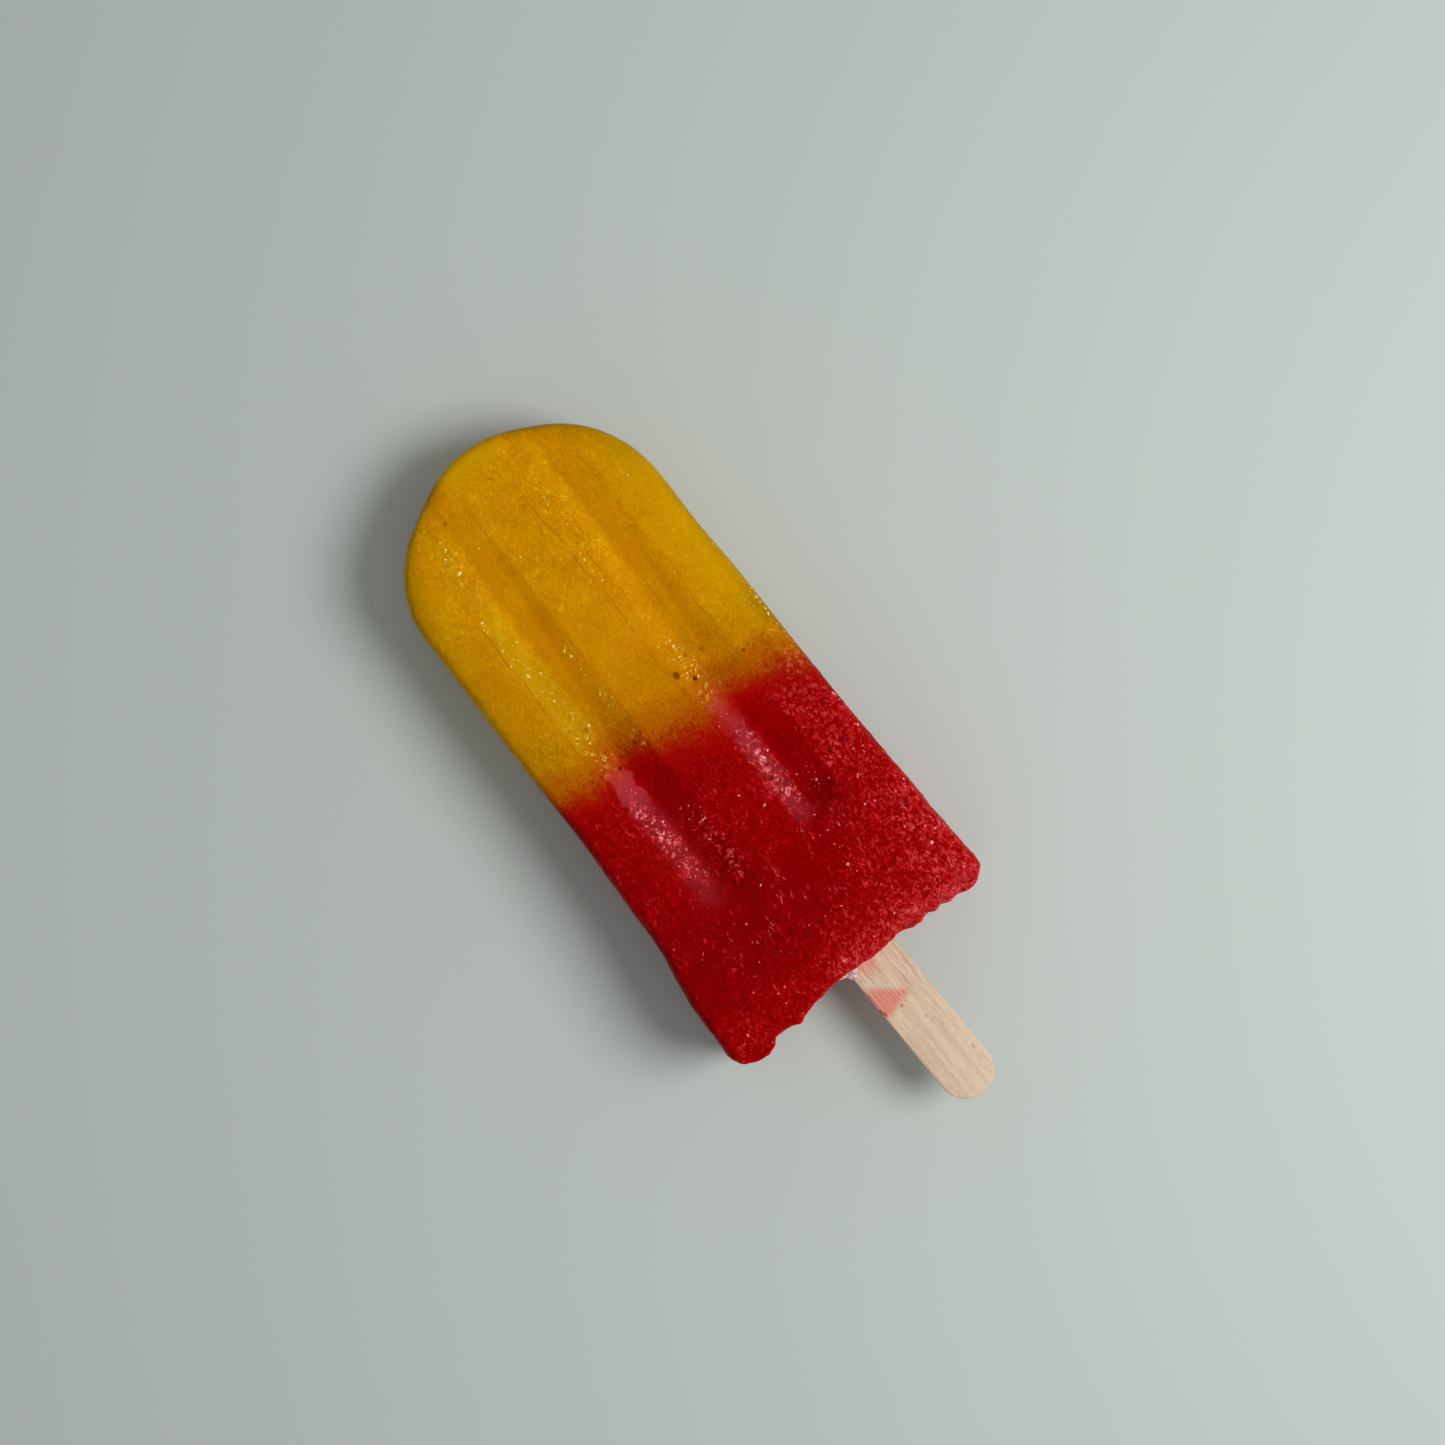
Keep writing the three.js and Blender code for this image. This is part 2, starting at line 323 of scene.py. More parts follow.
def trough():
    """The tool that cuts a flute: a cone with a narrow flat bottom, drawn out along the pop past the tip."""
    past_tip, over_face = 2, 4
    bpy.ops.mesh.primitive_cone_add(
        vertices=40,
        radius1=FLUTE_ROOT * MM,
        radius2=FLUTE_HALF_WIDTH * MM,
        depth=FLUTE_DEPTH * MM,
        location=(0, -FLUTE_END * MM, -FLUTE_DEPTH / 2 * MM),
    )
    tool = bpy.context.object
    tool.scale.y = FLUTE_END_LENGTH / FLUTE_HALF_WIDTH
    settle(tool)
    with editing(tool):
        pick(tool, "VERT", lambda points: points[0].y > (HAIR - FLUTE_END) * MM)
        bpy.ops.transform.translate(value=(0, (FLUTE_END + past_tip) * MM, 0))
        bpy.ops.mesh.select_all(action="SELECT")
        bpy.ops.mesh.bisect(plane_co=(0, -FLUTE_FADE_START * MM, 0), plane_no=(0, 1, 0))
        pick(tool, "VERT", lambda points: points[0].y > 0 and points[0].z < -MM)
        bpy.ops.transform.translate(value=(0, 0, FLUTE_TIP_RISE * MM))
        pick(tool, "FACE", lambda points: all(point.z > -0.1 * MM for point in points))
        bpy.ops.mesh.extrude_region_move(TRANSFORM_OT_translate={"value": (0, 0, over_face * MM)})
    return tool


def cut_flutes(body):
    """Cuts two flutes into each face, along its slope."""
    tool = trough()
    for side in (-1, 1):
        for turn in (0, math.pi):
            copy = copy_of(tool, "flute tool")
            lie = Matrix.Rotation(-SLOPE, 4, "X")
            place = Matrix.Translation((side * FLUTE_AT * MM, 0, HALF_THICK_TIP * MM))
            copy.matrix_world = Matrix.Rotation(turn, 4, "Y") @ place @ lie
            cut(body, settle(copy))
    bpy.data.objects.remove(tool)


# Drips on the open end, below its upper edge: x, s, height over the middle plane, and half sizes
DRIPS = [
    (-21.5, 110.4, -4, 4.2, 2.1, 5),
    (6, 111.3, -4.5, 5, 1.9, 4),
    (-9, 111.2, -4, 5, 2, 5),
    (15.5, 111.5, 2, 5.5, 1.7, 5.5),
    (22.5, 110.6, -2, 4, 1.9, 5),
]


def add_drips(body):
    """Joins the drips to the body; remeshing makes them one with it."""
    parts = [body]
    for x, s, z, across, along, through in DRIPS:
        bpy.ops.mesh.primitive_uv_sphere_add(segments=24, ring_count=16, radius=MM)
        drip = bpy.context.object
        drip.location = Vector((x, -s, z)) * MM
        drip.scale = (across, along, through)
        parts.append(settle(drip))
    return join(parts, "body")


def smooth_body():
    """The body with its flutes and drips, before its skin gets its relief, lying on its back."""
    body = outline_plate()
    with editing(body):
        bpy.ops.mesh.select_all(action="SELECT")
        dome(steps=9, inward=EDGE_ROUNDING, height=HALF_THICK_TIP, power=ROUNDING_POWER, turn=SLOPE)
    work(body, "MIRROR", use_axis=(False, False, True), merge_threshold=HAIR * MM)
    with editing(body):
        end = (0, (RIM_LENGTH - BODY_LENGTH) * MM, 0)
        bpy.ops.mesh.select_all(action="SELECT")
        bpy.ops.mesh.bisect(plane_co=end, plane_no=(0, -1, 0), clear_outer=True, use_fill=True)
        pick(body, "FACE", lambda points: all(abs(point.y - end[1]) < HAIR * MM for point in points))
        dome(steps=5, inward=RIM_INSET, height=RIM_LENGTH, power=RIM_POWER)
    cut_flutes(body)
    body = add_drips(body)
    body.location = (0, TIP_Y, HALF_THICK_TIP * MM)
    body.rotation_euler.x = -SLOPE
    settle(body)
    work(body, "REMESH", mode="VOXEL", voxel_size=SKIN_CELL * MM)
    work(body, "SMOOTH", factor=0.5, iterations=4)
    return body


# Relief of the frozen skin: grain size, height, and the region that gets it
RELIEF = [(11, 0.25, "all"), (3.6, 0.5, "rough"), (1.6, 0.5, "rough"), (0.9, 0.12, "red")]


def mark(piece, name, weight):
    """Marks a region of a piece, with a weight for each of its corners worked out from the place."""
    group = piece.vertex_groups.get(name) or piece.vertex_groups.new(name=name)
    for corner in piece.data.vertices:
        place = Vector((corner.co.x, TIP_Y - corner.co.y, corner.co.z)) / MM
        group.add([corner.index], weight(*place), "REPLACE")


def draw_out(body, axis, gain):
    """Moves the skin along an axis by what gain gives for each place, in millimetres either way."""
    most = 3  # more than any gain
    for way in (1, -1):
        mark(body, "gain", lambda x, s, z: max(0, way * gain(x, s, z)) / most)
        work(body, "DISPLACE", direction=axis, strength=way * most * MM, mid_level=0, vertex_group="gain")


def side_gain(x, s, z):
    """How far the skin of the sides moves along X: out by their gain."""
    inner, outer = 12, 22
    if x < 0:
        return -on_line(LEFT_GAIN, s) * smooth(inner, outer, -x)
    return on_line(RIGHT_GAIN, s) * smooth(inner, outer, x)


def end_gain(x, s, z):
    """How far the skin of the ends moves along Y: the open end out by its gain, the tip in by its wear."""
    at_end = smooth(BODY_LENGTH - 9, BODY_LENGTH - 1, s)
    at_tip = smooth(14, 2, s)
    return -(on_line(END_GAIN, x) - END_TRIM) * at_end - TIP_WORN * at_tip


def roughness_at(x, s, z):
    """How rough the skin is: most at the open end, some on both sides of the red, hardly elsewhere."""
    anywhere = 0.04
    open_end = smooth(106, 112, s)
    sides = 0.45 * smooth(17, 25, x) + 0.3 * smooth(22, 26, -x)
    return min(1, anywhere + open_end + smooth(58, 72, s) * sides)


def roughen(body):
    """Gives the skin its relief, region by region."""
    mark(body, "all", lambda x, s, z: 1)
    mark(body, "red", lambda x, s, z: 0.3 + 0.7 * smooth(54, 70, s))
    mark(body, "rough", roughness_at)
    for grain, height, where in RELIEF:
        pattern = bpy.data.textures.new("relief", "CLOUDS")
        pattern.noise_scale = grain * MM
        pattern.noise_depth = 1
        strength = height * MM
        work(body, "DISPLACE", vertex_group=where, texture=pattern, texture_coords="LOCAL", strength=strength)


def red_side():
    """The tool that parts the layers: a block round the red one, with its front along the layer line."""
    far = BODY_LENGTH + 20
    front_s = LAYER_LINE[len(LAYER_LINE) // 2][1]
    middle_z, height = 10, 60
    bpy.ops.mesh.primitive_cube_add(size=1, location=(0, TIP_Y - (front_s + far) / 2 * MM, middle_z * MM))
    tool = bpy.context.object
    width = LAYER_LINE[-1][0] - LAYER_LINE[0][0]
    tool.scale = (width * MM, (far - front_s) * MM, height * MM)
    settle(tool)
    front = TIP_Y - front_s * MM

    def on_front(point, x):
        return abs(point.x - x * MM) < HAIR * MM and abs(point.y - front) < HAIR * MM

    with editing(tool):
        for x, _ in LAYER_LINE[1:-1]:
            bpy.ops.mesh.select_all(action="SELECT")
            bpy.ops.mesh.bisect(plane_co=(x * MM, 0, 0), plane_no=(1, 0, 0))
        for x, s in LAYER_LINE:
            pick(tool, "VERT", lambda points: on_front(points[0], x))
            bpy.ops.transform.translate(value=(0, (front_s - s) * MM, 0))
    return tool


def frozen_layers():
    """The yellow layer and the red one, with the slot for the stick."""
    body = smooth_body()
    draw_out(body, "X", side_gain)
    draw_out(body, "Y", end_gain)
    roughen(body)
    cut(body, stick_blank(STICK_CLEARANCE))
    tool = red_side()
    red = copy_of(body, "red_juice")
    cut(red, tool, "INTERSECT", keep_tool=True)
    cut(body, tool)
    body.name = body.data.name = "yellow_juice"
    for layer in (body, red):
        layer.vertex_groups.clear()
        take(layer)
        bpy.ops.object.shade_smooth_by_angle(angle=math.radians(70))
    return body, red


# ---------------------------------------------------------------- the stick


def stick_blank(spare=0):
    """A flat stick with round ends, in its place, grown by spare all round."""
    nearly_half = 0.499  # of the width; a full half would make the corners of each end overlap
    size = Vector((STICK_WIDTH, STICK_LENGTH, STICK_THICKNESS)) + 2 * spare * Vector((1, 1, 1))
    bpy.ops.mesh.primitive_cube_add(size=1)
    stick = bpy.context.object
    stick.scale = size * MM
    stick.location.y = STICK_LENGTH / 2 * MM
    settle(stick)
    with editing(stick):
        pick(stick, "EDGE", lambda points: abs(points[0].z - points[1].z) > MM)
        bpy.ops.mesh.bevel(affect="EDGES", offset=nearly_half * size.x * MM, segments=16, profile=0.5)
        pick(stick, "FACE", lambda points: len({round(point.z / MM, 2) for point in points}) == 1)
        bpy.ops.mesh.region_to_loop()
        bpy.ops.mesh.bevel(affect="EDGES", offset=STICK_EDGE * MM, segments=3, profile=0.5)
    tilt = math.radians(STICK_TILT)
    s = BODY_LENGTH + STICK_OUT * math.cos(tilt)
    height = HALF_THICK_TIP + (HALF_THICK_END - HALF_THICK_TIP) * s / BODY_LENGTH
    free_end = Vector((STICK_OFFSET + STICK_OUT * math.sin(tilt), -s, height)) * MM
    place = Matrix.Translation(free_end + Vector((0, TIP_Y, 0)))
    stick.matrix_world = place @ Matrix.Rotation(-SLOPE, 4, "X") @ Matrix.Rotation(tilt, 4, "Z")
    return settle(stick)


def wooden_stick():
    stick = stick_blank()
    stick.name = stick.data.name = "wooden_stick"
    bpy.ops.object.shade_smooth_by_angle(angle=math.radians(40))
    return stick


# ---------------------------------------------------------------- frost


# Grains of frost that stand out singly: x, s, radius
LONE_GRAINS = [
    (-15.3, 26, 0.44),
    (-15, 30.7, 0.25),
    (-15.3, 31.9, 0.38),
    (-12.7, 32.2, 0.28),
    (-15.8, 35, 0.30),
    (-14.6, 38, 0.50),
    (-12.7, 39, 0.38),
    (-11.6, 50.9, 0.50),
    (-12.6, 12.1, 0.38),
    (-13.6, 13.6, 0.28),
    (-12.9, 14, 0.33),
    (-13.2, 16.8, 0.50),
    (-14.1, 18.3, 0.38),
    (-8, 15.4, 0.25),
    (5.2, 28.1, 0.30),
    (5.4, 32.9, 0.25),
    (6.3, 15.4, 0.30),
    (7.3, 15, 0.33),
    (20, 21.1, 0.28),
    (8.1, 49.1, 0.43),
    (8.1, 49.9, 0.33),
    (6, 47.8, 0.33),
    (-3.1, 21.1, 0.22),
    (-13.3, 69.2, 0.43),
    (-11.6, 71.9, 0.38),
    (-10.9, 94.2, 0.30),
    (-17, 104.1, 0.33),
    (-22.2, 109.3, 0.30),
    (-12.2, 106.6, 0.28),
    (-4.9, 90.5, 0.30),
    (9, 96.6, 0.35),
    (12, 90.4, 0.28),
    (20.6, 97.5, 0.33),
    (22.6, 102.4, 0.38),
    (3.9, 80.2, 0.33),
    (1.5, 76.2, 0.25),
]

# Strewn grains: x and s of the two ends of the strip, its half width, how many, and their mean radius
STREWN_GRAINS = [
    ((-15.2, 26), (-14.2, 55), 1.3, 17, 0.21),
    ((-13.4, 50), (-13, 62), 1.7, 18, 0.22),
    ((-6.9, 38), (-6.3, 51), 0.6, 8, 0.2),
    ((7, 14), (6.3, 42), 1.4, 10, 0.14),
    ((8, 48), (9, 60), 2, 20, 0.21),
    ((-13.6, 64), (-11.6, 84), 2, 44, 0.17),
    ((8.6, 62), (8.4, 87), 1.9, 30, 0.16),
    ((-5.9, 72), (-5.6, 86), 1.6, 22, 0.17),
    ((13.6, 77), (13.8, 84), 1.6, 10, 0.18),
    ((24.5, 49), (24.7, 61), 0.25, 24, 0.2),
    ((24.4, 36), (24.5, 50), 0.3, 10, 0.14),
    ((24.9, 72), (25, 80), 0.3, 12, 0.2),
    ((22.4, 40), (22.9, 60), 0.5, 8, 0.14),
    ((-20, 92), (0, 106), 8, 14, 0.16),
    ((18, 78), (21, 108), 5, 26, 0.18),
    ((9, 90), (11, 104), 1.6, 14, 0.17),
    ((-14, 108), (12, 109), 3, 12, 0.16),
]


def frost_grains(layers):
    """Ice crystals sitting in the skin of each layer, each a small lopsided bead."""
    above, lowest = 100, 8  # where a grain is dropped from, and the height under which it has missed the face
    sunk = 0.3  # share of the radius
    draw = random.Random(7)
    places = list(LONE_GRAINS)
    for start, end, spread, count, radius in STREWN_GRAINS:
        for _ in range(count):
            along = draw.random()
            x = start[0] + (end[0] - start[0]) * along + spread * max(-1.4, min(1.4, draw.gauss(0, 0.55)))
            s = start[1] + (end[1] - start[1]) * along + spread * draw.uniform(-0.5, 0.5)
            places.append((x, s, radius * (0.5 + 1.2 * draw.random() ** 2)))
    bpy.ops.mesh.primitive_ico_sphere_add(subdivisions=1, radius=MM)
    bead = bpy.context.object
    strewn = []
    for layer, name in zip(layers, ("yellow_frost", "red_frost")):
        grains = []
        for x, s, radius in places:
            over = Vector((x * MM, TIP_Y - s * MM, above * MM))
            hit, spot, _, _ = layer.ray_cast(over, Vector((0, 0, -1)))
            if not hit or spot.z < lowest * MM:
                continue
            grain = copy_of(bead, "grain")
            size = Vector((draw.uniform(0.6, 1), draw.uniform(0.8, 1.7), draw.uniform(0.5, 0.8))) * radius
            turn = Euler((draw.uniform(-0.5, 0.5), draw.uniform(-0.5, 0.5), draw.gauss(0, 0.8)))
            grain.matrix_world = Matrix.LocRotScale(spot - Vector((0, 0, sunk * radius * MM)), turn, size)
            grains.append(grain)
        strewn.append(settle(join(grains, name)))
    bpy.data.objects.remove(bead)
    return strewn


# Lumps of rime where the stick comes out: x, s, height over the floor, radius
RIME = [
    (-2.1, 112.8, 13.0, 0.95),
    (-1.3, 112.6, 13.5, 0.8),
    (-2.8, 112.3, 12.9, 0.8),
    (-0.9, 113.1, 13.6, 0.4),
    (-1.9, 113.4, 13.2, 0.5),
    (-3.7, 112.2, 13.2, 0.5),
    (-4.5, 112.1, 13.5, 0.35),
]


def stick_rime():
    """Ice frozen onto the left corner of the stick, where it leaves the pop."""
    lumps = []
    for x, s, z, radius in RIME:
        bpy.ops.mesh.primitive_ico_sphere_add(subdivisions=3, radius=radius * MM)
        lump = bpy.context.object
        lump.location = (x * MM, TIP_Y - s * MM, z * MM)
        lumps.append(settle(lump))
    rime = join(lumps, "stick_rime")
    work(rime, "REMESH", mode="VOXEL", voxel_size=0.14 * MM)
    pattern = bpy.data.textures.new("rime", "CLOUDS")
    pattern.noise_scale = 0.5 * MM
    work(rime, "DISPLACE", texture=pattern, texture_coords="LOCAL", strength=0.5 * MM)
    bpy.ops.object.shade_smooth()
    return rime


# ---------------------------------------------------------------- finishes


class Finish:
    """A material. Each method adds a node and gives its output, to be used as the input of another."""

    def __init__(self, name):
        self.material = bpy.data.materials.new(name)
        self.material.use_nodes = True
        self.tree = self.material.node_tree
        self.shader = self.tree.nodes["Principled BSDF"]
        spot = self.add("TexCoord", output="Object")
        self.place = self.add("VectorMath", {0: spot, 1: (1 / MM,) * 3}, operation="MULTIPLY")
        self.x = self.axis("X")
        self.s = self.math("SUBTRACT", TIP_Y / MM, self.axis("Y"))
        self.z = self.axis("Z")

    def add(self, kind, inputs=None, output=0, **settings):
        """Adds a node. Its inputs go by name or number, and each is a number, a colour or another output."""
        node = self.tree.nodes.new("ShaderNode" + kind)
        for name, value in settings.items():
            setattr(node, name, value)
        for name, value in (inputs or {}).items():
            self.give(node.inputs[name], value)
        return node.outputs[output]

    def give(self, socket, value):
        if isinstance(value, bpy.types.NodeSocket):
            self.tree.links.new(value, socket)
        else:
            socket.default_value = value

    def set(self, **values):
        """Sets the shader's inputs, such as Base_Color."""
        for name, value in values.items():
            self.give(self.shader.inputs[name.replace("_", " ")], value)

    def axis(self, name):
        return self.add("SeparateXYZ", {0: self.place}, output=name)

    def math(self, operation, *values):
        return self.add("Math", dict(enumerate(values)), operation=operation)

    def total(self, *values):
        whole = values[0]
        for value in values[1:]:
            whole = self.math("ADD", whole, value)
        return whole

    def weighed(self, base, *pairs):
        """The base, plus each value times its weight."""
        return self.total(base, *[self.product(value, weight) for value, weight in pairs])

    def sum_of(self, values):
        """The total of values that are made one after the other, so that few are waiting at a time."""
        whole = 0.0
        for value in values:
            whole = self.math("ADD", whole, value)
        return whole

    def product(self, *values):
        whole = values[0]
        for value in values[1:]:
            whole = self.math("MULTIPLY", whole, value)
        return whole

    def most(self, *values):
        whole = values[0]
        for value in values[1:]:
            whole = self.math("MAXIMUM", whole, value)
        return whole

    def scaled(self, value, low, high, to_low=0.0, to_high=1.0):
        """A straight slope from to_low, where the value is low, to to_high."""
        inputs = {"Value": value, "From Min": low, "From Max": high, "To Min": to_low, "To Max": to_high}
        return self.add("MapRange", inputs)

    def step(self, value, low, high, to_low=0.0, to_high=1.0):
        """A smooth step from to_low, where the value is low, to to_high."""
        inputs = {"Value": value, "From Min": low, "From Max": high, "To Min": to_low, "To Max": to_high}
        return self.add("MapRange", inputs, interpolation_type="SMOOTHSTEP", clamp=False)

    def band(self, value, low, high, edge):
        """1 between low and high and 0 outside, with soft edges reaching the given way to both sides."""
        rising = self.step(value, low - edge, low + edge)
        return self.product(rising, self.step(value, high + edge, high - edge))

    def bell(self, value, middle, reach):
        """1 at the middle, falling softly to 0 at the reach on both sides."""
        away = self.math("ABSOLUTE", self.math("SUBTRACT", value, middle))
        return self.step(away, reach, 0)

    def stretched(self, scale, place=None):
        """The place scaled along each axis; less than 1 draws a pattern out."""
        return self.add("VectorMath", {0: place or self.place, 1: scale}, operation="MULTIPLY")

    def noise(self, grain, detail=1.0, roughness=0.5, distortion=0.0, place=None):
        """Noise with patches of about the grain's size. It is 0 on average and mostly between -2 and 2."""
        inputs = {"Scale": 0.5 / grain, "Detail": detail, "Roughness": roughness, "Distortion": distortion}
        value = self.add("TexNoise", {"Vector": place or self.place, **inputs})
        return self.math("MULTIPLY_ADD", value, 10, -5)

    def crystals(self, grain, place=None):
        """Small facets of about the grain's size, each with a value of its own, like those of noise."""
        inputs = {"Vector": place or self.place, "Scale": 1 / grain}
        value = self.add("TexVoronoi", inputs, output="Color")
        return self.math("MULTIPLY_ADD", value, 4.6, -2.3)

    def veins(self, grain, width, place=None):
        """Thin lines round cells of about the grain's size: 1 in the middle of a line, 0 off it."""
        inputs = {"Vector": place or self.place, "Scale": 1 / grain}
        away = self.add("TexVoronoi", inputs, output="Distance", feature="DISTANCE_TO_EDGE")
        return self.step(away, width / grain, 0.25 * width / grain)

    def bent(self, grain, reach):
        """The place, shifted about by up to half the reach, with swirls of about the grain's size."""
        swirl = self.add("TexNoise", {"Vector": self.place, "Scale": 1 / grain, "Detail": 1}, output="Color")
        inputs = {0: swirl, 1: (reach,) * 3, 2: self.place}
        return self.add("VectorMath", inputs, operation="MULTIPLY_ADD")

    def mix(self, share, a, b, blend="MIX"):
        inputs = {0: share, 6: a, 7: b}
        return self.add("Mix", inputs, output=2, data_type="RGBA", blend_type=blend)

    def ramp(self, value, stops):
        """A colour for each value between the stops, which are pairs of value and colour."""
        low, high = stops[0][0], stops[-1][0]
        node = self.tree.nodes.new("ShaderNodeValToRGB")
        self.give(node.inputs[0], self.scaled(value, low, high))
        elements = node.color_ramp.elements
        elements[0].position, elements[0].color = 0, stops[0][1]
        elements[1].position, elements[1].color = 1, stops[-1][1]
        for position, colour in stops[1:-1]:
            elements.new((position - low) / (high - low)).color = colour
        return node.outputs[0]

    def curve(self, value, points):
        """A line through the points, which are pairs of place and value."""
        places, values = [point[0] for point in points], [point[1] for point in points]
        low, high = min(values), max(values)
        node = self.tree.nodes.new("ShaderNodeFloatCurve")
        self.give(node.inputs["Value"], self.scaled(value, places[0], places[-1]))
        line = node.mapping.curves[0].points
        spots = [((x - places[0]) / (places[-1] - places[0]), (y - low) / (high - low)) for x, y in points]
        line[0].location = spots[0]
        line[1].location = spots[-1]
        for spot in spots[1:-1]:
            line.new(*spot)
        node.mapping.update()
        return self.math("MULTIPLY_ADD", node.outputs[0], high - low, low)

    def near(self, x, s, radius, edge, tall=1.0):
        """1 within the radius of a point seen from above, and 0 outside.

        edge is the share of the radius that is soft, and tall the spot's length against its width.
        """
        offset = self.add("VectorMath", {0: self.place, 1: (x, TIP_Y / MM - s, 0)}, operation="SUBTRACT")
        flat = self.add("VectorMath", {0: offset, 1: (1, 1 / tall, 0)}, operation="MULTIPLY")
        distance = self.add("VectorMath", {0: flat}, output="Value", operation="LENGTH")
        return self.step(distance, radius * (1 + edge), radius * (1 - edge))

    def dotted(self, colour, dots, tint, edge, *shares):
        """The colour with dots of a tint on it: x, s, radius, how dark, how long against their width."""
        for x, s, radius, dark, tall in dots:
            share = self.product(self.near(x, s, radius, edge, tall), dark, *shares)
            colour = self.mix(share, colour, tint)
        return colour


LIGHT = 1.33  # how much paler the juice is than it looks in this light


def rgb(red, green, blue, light=1.0):
    """A colour given as a maker reads it off a chart, 0 to 255, turned into amounts of light."""
    parts = [((c + 14.025) / 269.025) ** 2.4 if c > 10.3 else c / 3294.6 for c in (red, green, blue)]
    return (*[min(0.96, light * part) for part in parts], 1)


def lit(red, green, blue):
    """A colour of the juice, given as it looks in this light."""
    return rgb(red, green, blue, LIGHT)


# Where the colour is halfway between yellow and red, at some x of the upper face
COLOUR_LINE = [
    (-25, 58.2),
    (-20.5, 58.9),
    (-17.6, 60.2),
    (-16, 59.6),
    (-12, 58.4),
    (-8.7, 57.8),
    (-5.3, 58.1),
    (-4.8, 59.9),
    (0.3, 61),
    (3.8, 61.8),
    (8.2, 60.7),
    (11, 59.9),
    (13.4, 60.2),
    (16.4, 61),
    (19, 61.8),
    (21.2, 62.2),
    (23, 63.5),
    (26, 63.8),
]
# How far from there the colour is all yellow or all red
COLOUR_SOFTNESS = [
    (-25, 3.9),
    (-16, 5),
    (-8, 4.4),
    (-5.4, 4.6),
    (-4.8, 6.8),
    (2.5, 6.6),
    (8, 6.5),
    (13, 4.4),
    (17, 5.3),
    (25, 6.2),
]

# Yellow, from its darkest specks to its palest
YELLOW = [(-3, lit(168, 101, 0)), (0, lit(192, 132, 0)), (3, lit(214, 160, 8)), (6, lit(240, 200, 90))]
# Paler lemon, painted as light where the lamp falls: on the flutes' left sides, the edges and near the tip
LIT_LEMON = lit(190, 144, 0)
# Deeper amber, painted as shade on the flutes' right sides, which face away from the lamp, and the real tint
# of the yellow before the seam
AMBER_AND_SHADE = lit(186, 116, 0)
LOST_INSIDE = (1.06, 1.2, 1.3)  # how much darker red, green and blue get on their way through clear ice
SEAM_AT = 60.3  # s, where the layers meet on average
# From yellow, at -1, to red, at 1
BLEND = [
    (-1.1, lit(186, 120, 0)),
    (-0.7, lit(172, 102, 0)),
    (-0.35, lit(165, 88, 0)),
    (0, lit(158, 63, 0)),
    (0.3, lit(153, 32, 0)),
    (0.6, lit(150, 8, 0)),
    (1, lit(146, 0, 1)),
]
# Red, from its darkest to the whitest crystals
RED = [
    (-0.4, lit(119, 0, 0)),
    (0, lit(137, 0, 1)),
    (0.2, lit(157, 6, 9)),
    (0.33, lit(170, 24, 26)),
    (0.6, lit(190, 58, 60)),
    (1, lit(212, 112, 112)),
    (1.5, lit(238, 178, 174)),
]
# Milky haze, partly frost and partly a painted sheen of the lamp
HAZE_AND_SHEEN = lit(202, 90, 104)
HAZE_AND_SHEEN_ORANGE = lit(202, 92, 40)
# Pale rime dashes, partly frost and partly painted glints of the lamp
RIME_AND_GLINT_YELLOW = lit(232, 180, 66)
RIME_AND_GLINT_ROSE = lit(212, 104, 92)
PIT_BROWN = lit(150, 84, 0)
PIT_RED = lit(96, 0, 6)
# Painted shade along the flutes' creases
CREASE_SHADE_BROWN = lit(140, 74, 0)

# Bubbles: x, s, radius, how dark, how long against their width
YELLOW_PITS = [
    (-10, 8.5, 0.4, 0.6, 1),
    (0.9, 7.3, 0.28, 0.6, 1),
    (11.8, 52.4, 0.5, 0.55, 1),
    (8.9, 51.7, 0.35, 0.5, 1),
    (-12.5, 51.3, 0.45, 0.45, 1),
    (-14.6, 49.9, 0.4, 0.3, 1),
]
DARK_PITS = [
    (5.6, 53.5, 0.55, 0.75, 1.4),
    (7.8, 55.8, 0.4, 0.9, 1.1),
    (17.3, 57, 0.35, 0.5, 1),
    (-7.1, 58.1, 0.4, 0.75, 1),
    (-11.8, 60.1, 0.3, 0.9, 1.2),
    (-11.8, 70.2, 0.3, 0.5, 1),
    (7.6, 77.2, 0.5, 0.85, 1),
    (8.5, 78.8, 0.4, 0.7, 1),
    (8.6, 74.9, 0.32, 0.7, 1),
    (18.6, 79.4, 0.5, 0.6, 1),
    (21.5, 79.4, 0.75, 0.65, 1),
    (15.5, 83.9, 0.6, 0.6, 1),
    (15, 86.6, 0.6, 0.6, 1.2),
    (-8, 87.3, 0.3, 0.9, 1),
    (-19.5, 105.7, 0.55, 0.8, 0.7),
    (23, 94.2, 0.7, 0.5, 1),
    (24.8, 97.4, 0.5, 0.5, 1),
]

# Dark lines painted as shade along the flutes' creases: x and s of both ends, and how dark
CREASE_SHADE_LINES = [
    ((-16.1, 15), (-16, 60), 0.6),
    ((3.7, 12), (5.1, 65), 0.6),
    ((6.3, 18), (6.6, 34), 0.6),
    ((11, 37), (11.3, 50), 0.7),
    ((16.4, 36), (16.3, 50), 0.5),
    ((15.2, 10), (15.6, 20), 0.5),
    ((-5.3, 22), (-5.2, 62), 0.25),
]


